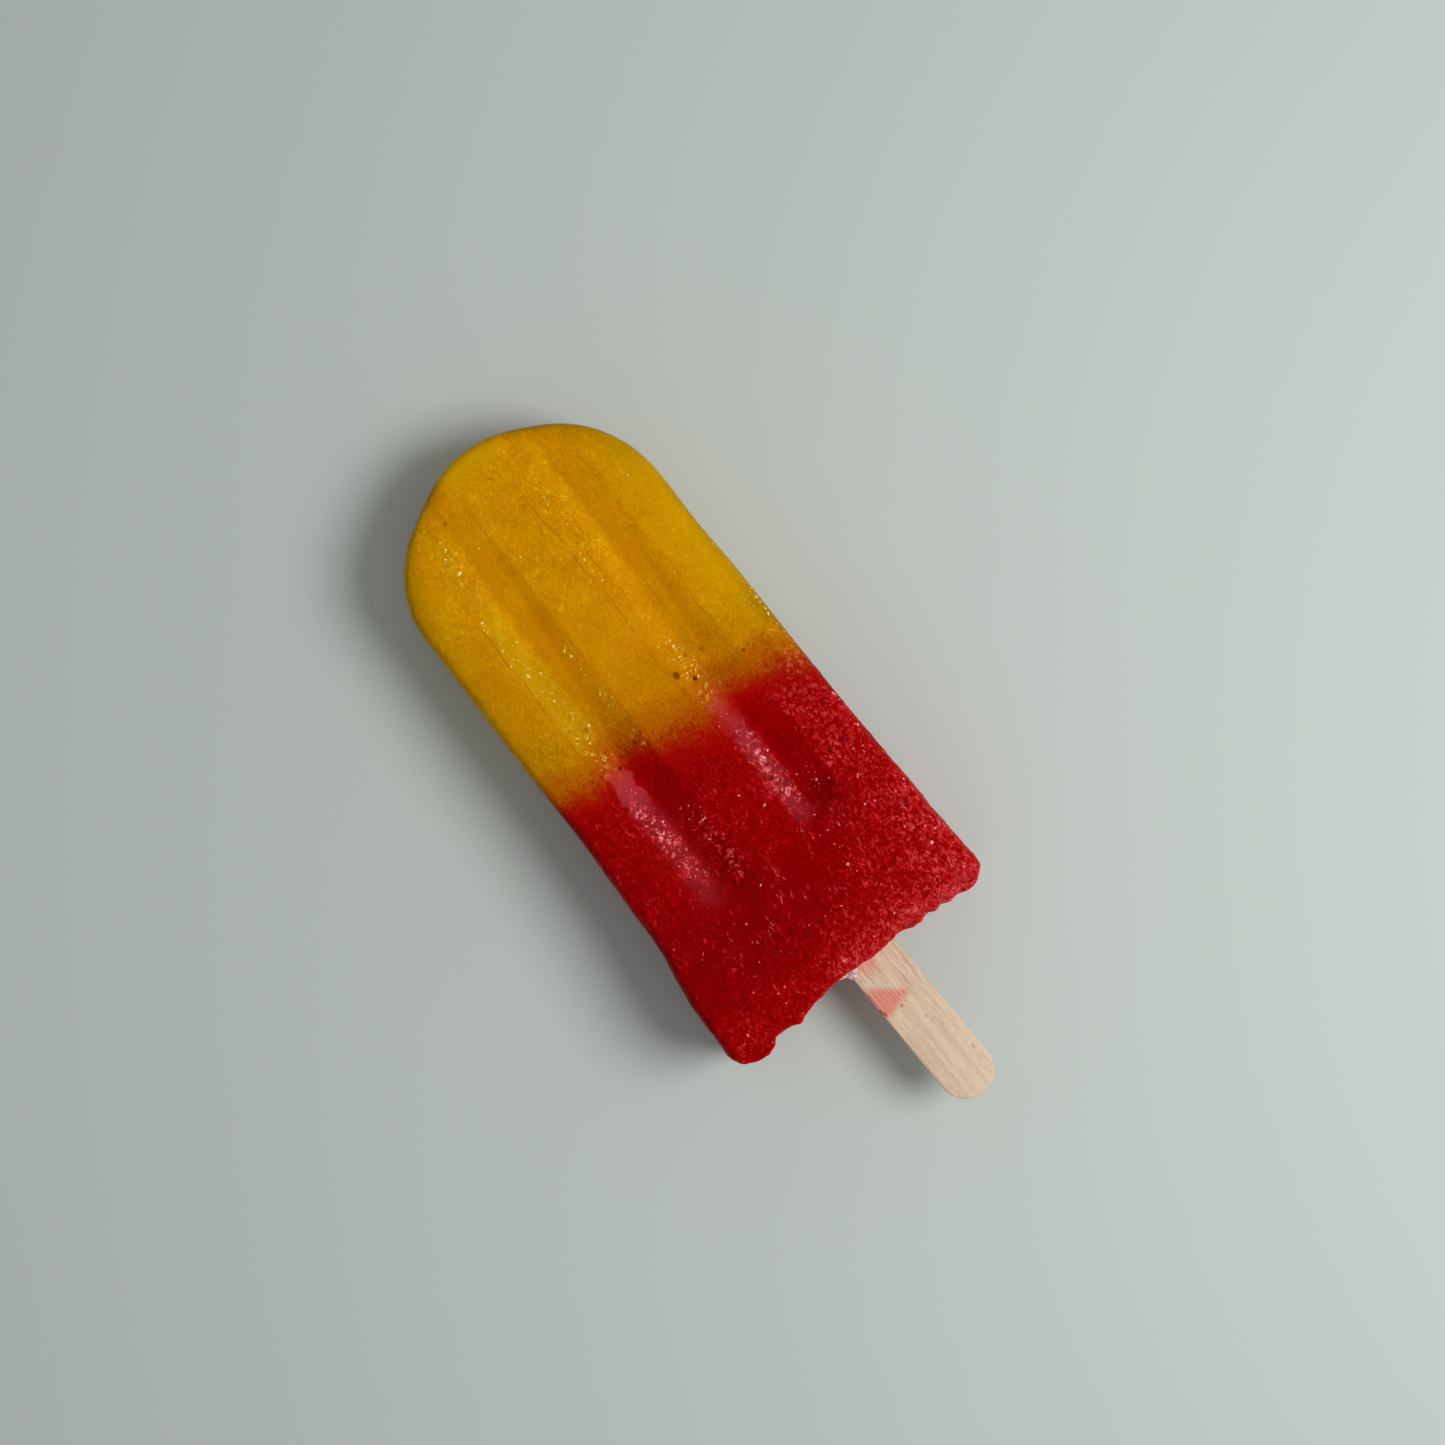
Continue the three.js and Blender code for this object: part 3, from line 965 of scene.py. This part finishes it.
class Ice(Finish):
    """Frozen juice, with the small patterns that its colours and its relief are made of."""

    def __init__(self, name):
        super().__init__(name)
        self.upper = self.step(self.z, 8, 12)  # 1 on the upper face, 0 on the back
        self.patches = self.noise(3, 2)  # broad and soft
        self.facets = self.crystals(0.28, self.stretched((1, 0.6, 1)))  # fine and crisp
        specks = self.noise(0.33, 1, place=self.stretched((1, 0.7, 1)))
        spots = self.total(self.step(specks, 1.1, 2.4, 0, 2.2), self.step(specks, -1.4, -2.8, 0, -1.6))
        swirled = self.bent(2.4, 3.2)
        curled = self.bent(0.9, 1.1)
        # Short strokes, some along the pop and some across it
        self.strokes = self.most(
            self.crystals(0.3, self.stretched((1, 0.25, 1), swirled)),
            self.crystals(0.3, self.stretched((0.28, 1, 1), swirled)),
        )
        # How light or dark the yellow is
        self.mottle = self.total(
            self.product(self.facets, 0.4),
            self.product(self.strokes, 0.3),
            self.product(self.patches, 0.35),
            spots,
            -0.23,
        )
        # Long thin crystals in the red
        fibres = self.step(self.crystals(0.36, self.stretched((1, 0.13, 1), swirled)), 1.2, 1.6, 0, 1.4)
        fibres = self.product(fibres, self.step(self.s, 60, 66), self.step(self.patches, -1, 1))
        # Pale dashes towards the open end
        long_facets = self.crystals(0.3, self.stretched((1, 0.3, 1), self.bent(3, 2.4)))
        streaks = self.step(long_facets, 1.15, 1.9, 0, 0.95)
        end_half = self.product(
            self.band(self.x, -20, 19, 4), self.band(self.s, 87, 109, 4), self.step(self.patches, -1.8, 0.8)
        )
        self.streaks = self.product(streaks, end_half)
        # A net of frost threads, broken up
        broken = self.step(self.noise(0.5, 1), -0.8, 1.2)
        veins = self.most(self.veins(0.85, 0.18, curled), self.veins(1.35, 0.15, curled))
        self.lines = self.product(veins, broken)
        # How light or dark the red is
        self.sparkle = self.total(
            self.product(self.strokes, 0.7),
            self.product(self.facets, 0.55),
            self.product(self.patches, 0.15),
            fibres,
            -0.5,
        )
        # Single bright crystals
        self.sparks = self.step(self.crystals(0.34, self.stretched((1, 0.7, 1), curled)), 1.95, 2.15)


def juice_finish(name):
    """Frozen juice, which turns from yellow to red along the colour line, so that both layers can wear it."""
    ice = Ice(name)
    # Haze, frost and rime on the upper face: each partly frost and partly a painted sheen or glints of the
    # lamp on the flutes' sides that face it
    haze_and_sheen = ice.product(haze_and_sheen_at(ice), ice.upper)
    frost = ice.product(frost_and_sheen_at(ice), ice.upper)
    rime = ice.product(rime_and_glints_at(ice), ice.upper)
    colour = juice_colour(ice, haze_and_sheen, frost, rime)

    # Some of the light that gets into the ice is lost there. Near the seam none gets in, so that both layers
    # look alike, and the colour is dimmed by as much instead.
    from_seam = ice.math("ABSOLUTE", ice.math("SUBTRACT", ice.s, SEAM_AT))
    let_in = ice.step(from_seam, 5, 12)
    dimmer = ice.mix(let_in, (*[1 / part for part in LOST_INSIDE], 1), (1, 1, 1, 1))
    colour = ice.mix(1.0, colour, dimmer, "MULTIPLY")
    grain = ice.total(ice.product(ice.strokes, 0.65), ice.product(ice.facets, 0.35), -0.4)
    grain_strength = ice.scaled(ice.band(ice.s, 50, 61, 7), 0, 1, 0.015, 0.075)
    grain = ice.product(grain, grain_strength, ice.step(ice.s, 66, 62))
    # Painted light and shade, with the grain, scale the colour
    light = ice.total(ice.sum_of(painted_light_and_shade(ice)), grain)
    colour = ice.add("VectorMath", {0: colour, "Scale": light}, operation="SCALE")
    ice.set(Subsurface_Weight=ice.product(let_in, ice.scaled(frost, 0, 1, 0.5, 0.1)))
    ice.shader.inputs["Subsurface Radius"].default_value = (1, 0.4, 0.1)
    ice.shader.inputs["Subsurface Scale"].default_value = 1.1 * MM

    ridges = ice.product(ice.lines, ice.most(frost, rime), 0.14)
    height = ice.total(
        ice.product(ice.mottle, 0.035), ice.product(ice.sparkle, ice.step(past(ice), -0.5, 0.5), 0.05), ridges
    )
    bump = ice.add("Bump", {"Height": height, "Strength": 0.5, "Distance": MM}, output="Normal")
    ice.set(Base_Color=colour, Roughness=0.42, Normal=bump)
    ice.set(Coat_Weight=ice.product(frost, 0.35), Coat_Normal=bump)
    ice.shader.inputs["Specular IOR Level"].default_value = 0.012
    ice.shader.inputs["Coat Roughness"].default_value = 0.25
    ice.shader.inputs["Coat IOR"].default_value = 1.31
    return ice.material


def juice_colour(ice, haze_and_sheen, frost, rime):
    """Yellow and red with the blend between them, and in front of them the rime and haze, each partly frost
    and partly painted glints and sheen of the lamp, the painted shade along the flutes' creases, and the
    bubbles.
    """
    red = red_colour(ice, frost)
    colour = ice.mix(ice.step(past(ice), -0.1, 0.1), yellow_colour(ice), red)
    colour = blend_colour(ice, colour)
    # Rime dashes, partly frost and partly painted glints of the lamp
    dashes = ice.most(ice.sparks, ice.product(ice.lines, ice.step(ice.noise(0.45, 1), -0.3, 1.2)))
    colour = ice.mix(
        ice.product(rime, dashes, 0.75), colour, ice.mix(ice.step(ice.s, 59, 64), RIME_AND_GLINT_YELLOW, RIME_AND_GLINT_ROSE)
    )
    # Haze, partly frost and partly a painted sheen of the lamp
    tint = ice.mix(ice.step(ice.s, 58, 64), HAZE_AND_SHEEN_ORANGE, HAZE_AND_SHEEN)
    colour = ice.mix(ice.product(haze_and_sheen, ice.step(ice.patches, -2, 2, 0.7, 1)), colour, tint)
    # Painted shade along the flutes' creases
    colour = ice.mix(ice.product(crease_shade(ice), ice.upper), colour, CREASE_SHADE_BROWN)
    colour = ice.dotted(colour, YELLOW_PITS, PIT_BROWN, 0.4, ice.upper)
    return ice.dotted(colour, DARK_PITS, PIT_RED, 0.4, ice.upper)


def wavering(ice):
    """x, for the edges of a flute, which aren't quite straight."""
    return ice.weighed(ice.x, (ice.noise(3, 1), 0.12))


def flank(ice, x, reach):
    """1 along a side of a flute, at x, and 0 beside it and past the flute's end."""
    return ice.product(ice.bell(ice.x, x, reach), ice.step(ice.s, 92, 86))


def tip_edge(ice):
    """The rounded edge round the tip, to both sides of its middle."""
    beside = ice.step(ice.math("ABSOLUTE", ice.x), 5, 9)
    face = ice.near(0, TIP_RADIUS, 21.8, 0.09)
    return ice.product(ice.math("SUBTRACT", 1, face), beside, ice.step(ice.s, 26, 18))


def past(ice):
    """How far past the colour line a place is: -1 and less is all yellow, 1 and more is all red."""
    wander = ice.product(ice.noise(5, 1), ice.step(ice.z, 17, 12), 0.9)  # down the sides
    offset = ice.math("SUBTRACT", ice.total(ice.s, wander), ice.curve(ice.x, COLOUR_LINE))
    return ice.math("DIVIDE", offset, ice.curve(ice.x, COLOUR_SOFTNESS))


def frost_and_sheen_at(ice):
    """Where threads of frost lie on the red, along the left sides of the flutes: partly frost, and partly a
    painted sheen of the lamp on the sides that face it.
    """
    middle = ice.scaled(ice.s, 66, 84, -14, -12)
    reach = ice.scaled(ice.s, 74, 83, 2.7, 2.4)
    left = ice.product(ice.bell(ice.x, middle, reach), ice.step(wavering(ice), -10, -10.9))
    right = ice.bell(ice.x, 8.4, 3)
    return ice.total(
        ice.product(left, ice.band(ice.s, 66, 83, 2.5), ice.scaled(ice.s, 74, 84, 1, 0.75)),
        ice.product(right, ice.band(ice.s, 66, 84, 3), ice.step(ice.x, 11, 10)),
    )


def haze_and_sheen_at(ice):
    """How milky the red is along the left sides of the flutes, most of all near the seam: partly frost, and
    partly a painted sheen of the lamp on the sides that face it.
    """
    x = ice.weighed(ice.x, (ice.noise(1.1, 1), 0.3))
    left = ice.product(ice.bell(ice.x, -13, 7), ice.band(x, -14.5, -11.1, 0.4))
    low_left = ice.bell(ice.x, -12.6, 3.6)
    right = ice.bell(x, 8.4, 2.7)
    start = ice.weighed(ice.s, (ice.noise(1.2, 1), 0.8))
    return ice.total(
        ice.product(left, ice.step(start, 56.6, 58.6), ice.step(ice.s, 71, 65), 0.3),
        ice.product(low_left, ice.band(ice.s, 68, 88, 3), 0.1),
        ice.product(
            right, ice.scaled(ice.s, 62, 78, 0.25, 0.14), ice.step(start, 57, 60), ice.step(ice.s, 88, 84)
        ),
    )


def rime_and_glints_at(ice):
    """Where broken lines of frost lie, in the flutes of the yellow and on the right near the seam: partly
    frost, and partly painted glints of the lamp on the sides that face it.
    """
    return ice.most(
        ice.product(ice.bell(ice.x, -6, 1.5), ice.band(ice.s, 46, 60, 3)),
        ice.product(
            ice.bell(ice.x, -13.8, 3), ice.band(ice.s, 28, 60, 6), ice.scaled(ice.s, 34, 50, 0.45, 0.8)
        ),
        ice.product(ice.bell(ice.x, 8, 3.2), ice.band(ice.s, 49, 60, 5)),
        ice.product(ice.bell(ice.x, 24.9, 1.2), ice.band(ice.s, 50, 62, 4), 0.8),
        ice.product(ice.step(ice.x, 16, 24, 0.2, 0.8), ice.step(ice.x, 14, 17), ice.band(ice.s, 61, 68, 4)),
        ice.product(ice.bell(ice.x, -13.3, 2.4), ice.band(ice.s, 12, 26, 4), 0.25),
    )


def painted_light_and_shade(ice):
    """Painted light and shade: how much darker or paler the ice is painted in some parts, against how the
    lamp lights its edges, tip, rims and flutes, and partly where it is clearer or cloudier.
    """
    yield 1.0
    # Painted shade on the yellow's left and right lands, their edges, and the left flute
    yield ice.product(ice.step(ice.x, -15, -20), ice.band(ice.s, 22, 56, 6), -0.1)
    yield ice.product(ice.step(ice.x, -20.5, -23), ice.band(ice.s, 16, 46, 5), -0.07)
    yield ice.product(ice.step(ice.x, -15, -19), ice.band(ice.s, 47.5, 55, 3), -0.08)
    yield ice.product(ice.bell(ice.x, -12.5, 4.5), ice.band(ice.s, 36, 55, 5), -0.14)
    yield ice.product(ice.step(ice.x, 22.3, 24.3), ice.band(ice.s, 24, 57, 4), -0.22)
    yield ice.product(ice.step(ice.x, 16, 19), ice.band(ice.s, 52, 58, 3), -0.08)
    # Painted shade on the tip's rounded edge, with the starts of the flutes
    yield ice.product(tip_edge(ice), -0.2)
    yield ice.product(ice.bell(ice.math("ABSOLUTE", ice.x), 9.5, 4), ice.step(ice.s, 6, 3), -0.1)
    yield ice.product(ice.bell(ice.x, -12.5, 4), ice.step(ice.s, 14, 8), -0.1)
    # Painted shade and light across the yellow before the seam, and along the right flute
    yield ice.product(ice.band(ice.s, 48.5, 54, 2.5), -0.08)
    yield ice.product(ice.bell(ice.x, 10.2, 2), ice.band(ice.s, 38, 60, 4), -0.12)
    yield ice.product(ice.bell(ice.x, 15.8, 2), ice.band(ice.s, 22, 50, 5), 0.11)
    # Painted light and shade on the red's flutes, from the seam to their ends, its open end and its lands
    yield ice.product(ice.bell(ice.x, 14, 4.5), ice.band(ice.s, 59, 71, 3), 0.28)
    yield ice.product(ice.bell(ice.x, 12.5, 4), ice.band(ice.s, 82, 91, 3), -0.2)
    yield ice.product(ice.bell(ice.x, -6, 5), ice.band(ice.s, 82, 91, 3), -0.22)
    yield ice.product(ice.bell(ice.x, -10, 4), ice.band(ice.s, 61, 67, 3), 0.14)
    yield ice.product(ice.step(ice.s, 108.8, 111.4), ice.step(ice.x, -10, 8, 0.2, 1), -0.16)
    yield ice.product(ice.band(wavering(ice), -10.9, -5.3, 0.25), ice.band(ice.s, 60, 69, 3), 0.04)
    yield ice.product(ice.band(wavering(ice), 10.3, 16, 0.25), ice.band(ice.s, 61, 81, 3), 0.08)
    yield ice.product(ice.bell(ice.x, 3, 5), ice.band(ice.s, 64, 98, 5), 0.06)
    yield ice.product(ice.bell(ice.x, -17.5, 3), ice.band(ice.s, 64, 86, 4), 0.05)
    yield ice.product(ice.band(ice.x, -18, -4, 3), ice.band(ice.s, 92, 104, 3), -0.05)


def blend_colour(ice, colour):
    """Lays the blend of the two juices over the colour, fading out to both sides."""
    at = ice.weighed(past(ice), (ice.mottle, 0.16), (ice.strokes, -0.16), (ice.sparks, -0.5))
    at = ice.total(at, 0.14)
    shown = ice.product(ice.step(at, -1.3, -0.8), ice.step(at, 1.15, 0.8))
    return ice.mix(shown, colour, ice.ramp(at, BLEND))


def yellow_colour(ice):
    """Mottled yellow, more lemon on the left sides of the flutes, painted as light where the lamp falls on
    them and on the edges, and more amber on the right ones, painted as shade where they face away; amber also
    tints the yellow before the seam.
    """
    # More contrast on the flutes' left sides, whose pale specks are partly painted glints of the lamp
    contrast = ice.weighed(1, (flank(ice, -13.4, 3), 0.9), (ice.bell(ice.x, 7, 3), 0.5))
    yellow = ice.ramp(ice.product(ice.mottle, contrast, 0.95), YELLOW)
    x = wavering(ice)
    sharp = ice.step(ice.s, 14, 32)  # where the flutes have clear edges
    near_left = ice.total(flank(ice, -13.8, 2.8), ice.product(ice.band(x, -15.9, -11.4, 0.25), sharp))
    # Lemon painted as light: on the left flute's left side, which faces the lamp, along both edges, and on
    # the flat near the tip
    lit_lemon = ice.most(
        ice.product(near_left, 0.32),
        ice.step(ice.x, 15, 24, 0, 0.65),
        ice.product(ice.step(ice.x, -15, -24, 0, 0.4), ice.step(ice.s, 40, 20, 0.3, 1)),
        ice.product(
            ice.band(ice.x, -6, 4, 2), ice.step(ice.weighed(ice.s, (ice.mottle, 0.8)), 6.5, 2.5), 0.75
        ),
    )
    yellow = ice.mix(lit_lemon, yellow, LIT_LEMON)
    # Amber painted as shade on the right sides of both flutes, which face away from the lamp, and as the real
    # tint before the seam
    far_left = ice.total(flank(ice, -8.4, 3.2), ice.product(ice.band(x, -11.4, -4.7, 0.25), sharp))
    edge = ice.scaled(ice.s, 20, 52, 14.3, 16)
    beyond = ice.product(ice.step(ice.math("SUBTRACT", x, edge), 0.25, -0.25), ice.step(x, 10, 10.6))
    far_right = ice.total(flank(ice, 12.6, 2.8), ice.product(beyond, sharp))
    shaded_amber = ice.most(ice.product(far_left, 0.3), ice.product(far_right, 0.27))
    before_seam = ice.product(ice.band(ice.x, -8, 14, 3), ice.step(ice.s, 28, 46), 0.45)
    return ice.mix(ice.most(shaded_amber, before_seam), yellow, AMBER_AND_SHADE)


def red_colour(ice, frost):
    """Red ice with pale crystals, more of them to the right and towards the end."""
    off_flute = ice.step(ice.math("ABSOLUTE", ice.math("SUBTRACT", ice.x, 13.3)), 2.4, 3.8)
    right = ice.product(
        ice.step(ice.x, 8, 20), ice.most(off_flute, ice.step(ice.s, 84, 92)), ice.step(ice.s, 59, 66, 0.3, 1)
    )
    end = ice.product(ice.step(ice.s, 100, 112), ice.step(ice.x, -20, 4, 0.2, 1))
    end_middle = ice.product(ice.band(ice.s, 102, 112, 4), ice.band(ice.x, -2, 16, 4))
    dark_left = ice.product(ice.band(ice.s, 88, 103, 4), ice.step(ice.x, 14, 0))
    flecked = ice.product(ice.bell(ice.x, -6, 2.6), ice.band(ice.s, 77, 87, 3))
    clean = ice.most(
        ice.product(ice.band(ice.x, -10.8, -4.9, 0.4), ice.step(ice.s, 76, 70)),
        ice.product(ice.band(ice.x, 10.4, 15.8, 0.4), ice.step(ice.s, 83, 77)),
    )
    level = ice.weighed(-0.08, (right, 0.12), (end, 0.14), (end_middle, 0.1), (frost, -0.2))
    dark_right = ice.product(ice.bell(ice.x, 21.4, 3.4), ice.band(ice.s, 92, 97, 3))
    pale_edge = ice.product(ice.step(ice.x, 20, 24.5), ice.band(ice.s, 90, 106, 4))
    level = ice.weighed(level, (dark_left, -0.18), (flecked, -0.1), (dark_right, -0.1))
    level = ice.weighed(level, (pale_edge, 0.14))
    end_start = ice.weighed(ice.s, (ice.noise(1.5, 1), 0.5))
    even_end = ice.product(ice.step(end_start, 108, 111.5), ice.step(ice.x, -8, 4))
    # Where the frost lies, partly frost and partly a painted sheen of the lamp, the crystals spread wider and
    # threads and dots show more
    spread = ice.weighed(0.21, (right, 0.03), (end, 0.02), (frost, 0.1), (clean, -0.12))
    spread = ice.weighed(spread, (even_end, -0.1))
    level = ice.weighed(level, (even_end, 0.14))
    thread = ice.weighed(0.1, (right, 0.12), (end_middle, 0.08), (frost, 1.2), (flecked, 0.7))
    dots = ice.weighed(0.4, (frost, 0.8), (ice.step(ice.s, 84, 96), 0.2), (clean, -0.25))
    crystals = ice.weighed(level, (ice.sparkle, spread), (ice.lines, thread))
    dots = ice.total(ice.product(ice.sparks, ice.total(dots, 0.4)), -0.4)
    return ice.ramp(ice.most(crystals, dots, ice.total(ice.streaks, -0.4)), RED)


def crease_shade(ice):
    """How much of each line of painted crease shade shows at a place."""
    whole = 0.0
    for (x1, s1), (x2, s2), dark in CREASE_SHADE_LINES:
        line = ice.weighed(ice.scaled(ice.s, s1, s2, x1, x2), (ice.noise(4, 1), 0.16))
        broken = ice.step(ice.noise(2.5, 1), -1.5, 1.2, 0.15, 1)
        crease_line = ice.product(ice.bell(ice.x, line, 0.26), ice.band(ice.s, s1, s2, 3), broken, dark * 0.8)
        whole = ice.most(whole, crease_line)
    return whole


def frost_finish(name, tint, pale):
    """Frost, tinted by the juice it sits on."""
    frost = Finish(name)
    colour = frost.mix(frost.step(frost.noise(0.25, 1), -2, 2), tint, pale)
    frost.set(Base_Color=colour, Roughness=0.15)
    return frost.material


# Grain of the wood, from dark lines to pale ones
WOOD = [
    (-3, rgb(178, 136, 104)),
    (-1, rgb(206, 176, 147)),
    (0.4, rgb(224, 199, 170)),
    (3, rgb(238, 218, 190)),
]
STAIN = rgb(226, 92, 76)
DRIED_JUICE = rgb(150, 10, 8)
PORE_BROWN = rgb(120, 84, 60)

# Specks on the stick: x, s, radius, how dark, how long against their width
JUICE_SPECKS = [(-2.3, 121.3, 0.42, 0.9, 1.3), (-1.7, 122, 0.25, 0.7, 2), (1.5, 122.5, 0.22, 0.7, 1.2)]
DARK_PORES = [(2.6, 122.2, 0.2, 0.5, 1), (3.8, 126.5, 0.16, 0.55, 1.6), (7, 135.6, 0.14, 0.5, 3)]


def wood_finish():
    """Pale birch with fine grain, wet near the ice, with a red stain and a few specks."""
    wood = Finish("birch")
    lean = math.tan(math.radians(STICK_TILT))
    out = wood.math("SUBTRACT", wood.s, BODY_LENGTH)
    across = wood.weighed(wood.math("SUBTRACT", wood.x, STICK_OFFSET), (out, -lean))
    stick_place = wood.add("CombineXYZ", {0: across, 1: out, 2: wood.z})
    lines = wood.noise(0.13, 2, place=wood.stretched((1, 0.03, 1), stick_place))
    broad = wood.noise(0.7, 1, place=wood.stretched((1, 0.06, 1), stick_place))
    pores = wood.noise(0.16, 1, place=wood.stretched((1, 0.2, 1), stick_place))
    dense = wood.most(wood.band(across, -5, -1.4, 0.6), wood.band(across, 2, 4.8, 0.5))
    open_grain = wood.product(wood.step(out, 16, 9, 0.25, 1), wood.step(dense, 0, 1, 0.4, 1))
    tone = wood.weighed(wood.product(lines, open_grain, 0.85), (broad, 0.3), (pores, 0.22))
    colour = wood.ramp(tone, WOOD)

    # A stain between two slanting edges, which the grain draws out, and a thin wash where the ice begins
    streaks = wood.total(wood.product(lines, 0.22), wood.product(broad, 0.15))
    far_edge = wood.scaled(across, -5, 1.4, 10.2, 9)
    near_edge = wood.scaled(across, -3.6, 1.3, 4.4, 8.2)
    from_far = wood.math("SUBTRACT", wood.total(far_edge, streaks), out)
    from_near = wood.math("SUBTRACT", out, near_edge)
    inside = wood.math("MINIMUM", from_far, from_near)
    stain = wood.product(
        wood.step(inside, -0.7, 0.9), wood.step(across, 1.9, 0.4), wood.step(lines, -2.2, 2, 1, 0.45), 0.92
    )
    colour = wood.mix(stain, colour, STAIN)
    wash = wood.product(
        wood.step(out, 4, 0.2), wood.band(across, -3.4, 0.2, 0.8), wood.step(lines, -1.5, 1.5, 0.7, 0.15)
    )
    colour = wood.mix(wash, colour, STAIN)
    colour = wood.dotted(colour, JUICE_SPECKS, DRIED_JUICE, 0.7)
    colour = wood.dotted(colour, DARK_PORES, PORE_BROWN, 0.7)
    height = wood.product(tone, 0.02)
    bump = wood.add("Bump", {"Height": height, "Strength": 0.6, "Distance": MM}, output="Normal")
    wood.set(Base_Color=colour, Roughness=0.7, Normal=bump)
    wood.shader.inputs["Specular IOR Level"].default_value = 0.25
    return wood.material


# ---------------------------------------------------------------- camera, light and floor


def camera():
    """Looks straight down, with the pop lying aslant."""
    sensor = 36
    to_pop, seen_width = 488, 251.3  # the distance to the upper face, and how much is seen there
    bpy.ops.object.camera_add(location=(6.9 * MM, 6.9 * MM, 500 * MM), rotation=(0, 0, math.radians(-37.7)))
    view = bpy.context.object
    view.data.sensor_width = sensor
    view.data.lens = sensor * to_pop / seen_width
    view.data.clip_start = 0.01
    bpy.context.scene.camera = view


def lights():
    """A broad lamp from the right of the pop's open end, and light from the room all round."""
    target = Vector((0, 0, 12 * MM))
    elevation = math.radians(54)
    direction = Vector((0.79, -0.61, 0)).normalized() * math.cos(elevation)
    direction.z = math.sin(elevation)
    bpy.ops.object.light_add(type="AREA", location=target + 600 * MM * direction)
    key = bpy.context.object
    key.data.shape = "DISK"
    key.data.size = 300 * MM
    key.data.energy = 2.45
    key.rotation_euler = direction.to_track_quat("Z", "Y").to_euler()
    world = bpy.data.worlds.new("room light")
    bpy.context.scene.world = world
    world.use_nodes = True
    background = world.node_tree.nodes["Background"]
    background.inputs["Color"].default_value = (0.95, 0.98, 1, 1)
    background.inputs["Strength"].default_value = 0.342
    bpy.context.scene.view_settings.view_transform = "Standard"


def floor():
    bpy.ops.mesh.primitive_plane_add(size=3, location=(0, 0, 0))
    table = bpy.context.object
    table.name = "floor"
    finish = bpy.data.materials.new("pale floor")
    finish.use_nodes = True
    shader = finish.node_tree.nodes["Principled BSDF"]
    shader.inputs["Base Color"].default_value = (0.55, 0.6, 0.56, 1)
    shader.inputs["Roughness"].default_value = 0.7
    table.data.materials.append(finish)


bpy.ops.object.select_all(action="DESELECT")
camera()
lights()
floor()
yellow_juice, red_juice = frozen_layers()
stick = wooden_stick()
yellow_frost, red_frost = frost_grains((yellow_juice, red_juice))
rime = stick_rime()
for piece, node, slot, finish in (
    (yellow_juice, "yellow_ice", "yellow_ice", juice_finish("yellow juice")),
    (red_juice, "red_ice", "red_ice", juice_finish("red juice")),
    (stick, "stick", "stick_wood", wood_finish()),
    (yellow_frost, None, "yellow_ice", frost_finish("yellow frost", lit(220, 158, 24), lit(246, 206, 104))),
    (red_frost, None, "red_ice", frost_finish("red frost", lit(200, 60, 62), lit(236, 146, 140))),
    (rime, None, "red_ice", frost_finish("rime", rgb(214, 150, 150), rgb(236, 214, 208))),
):
    piece.data.materials.clear()
    piece.data.materials.append(finish)
    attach(piece, "root")
    if node:
        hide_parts(node)
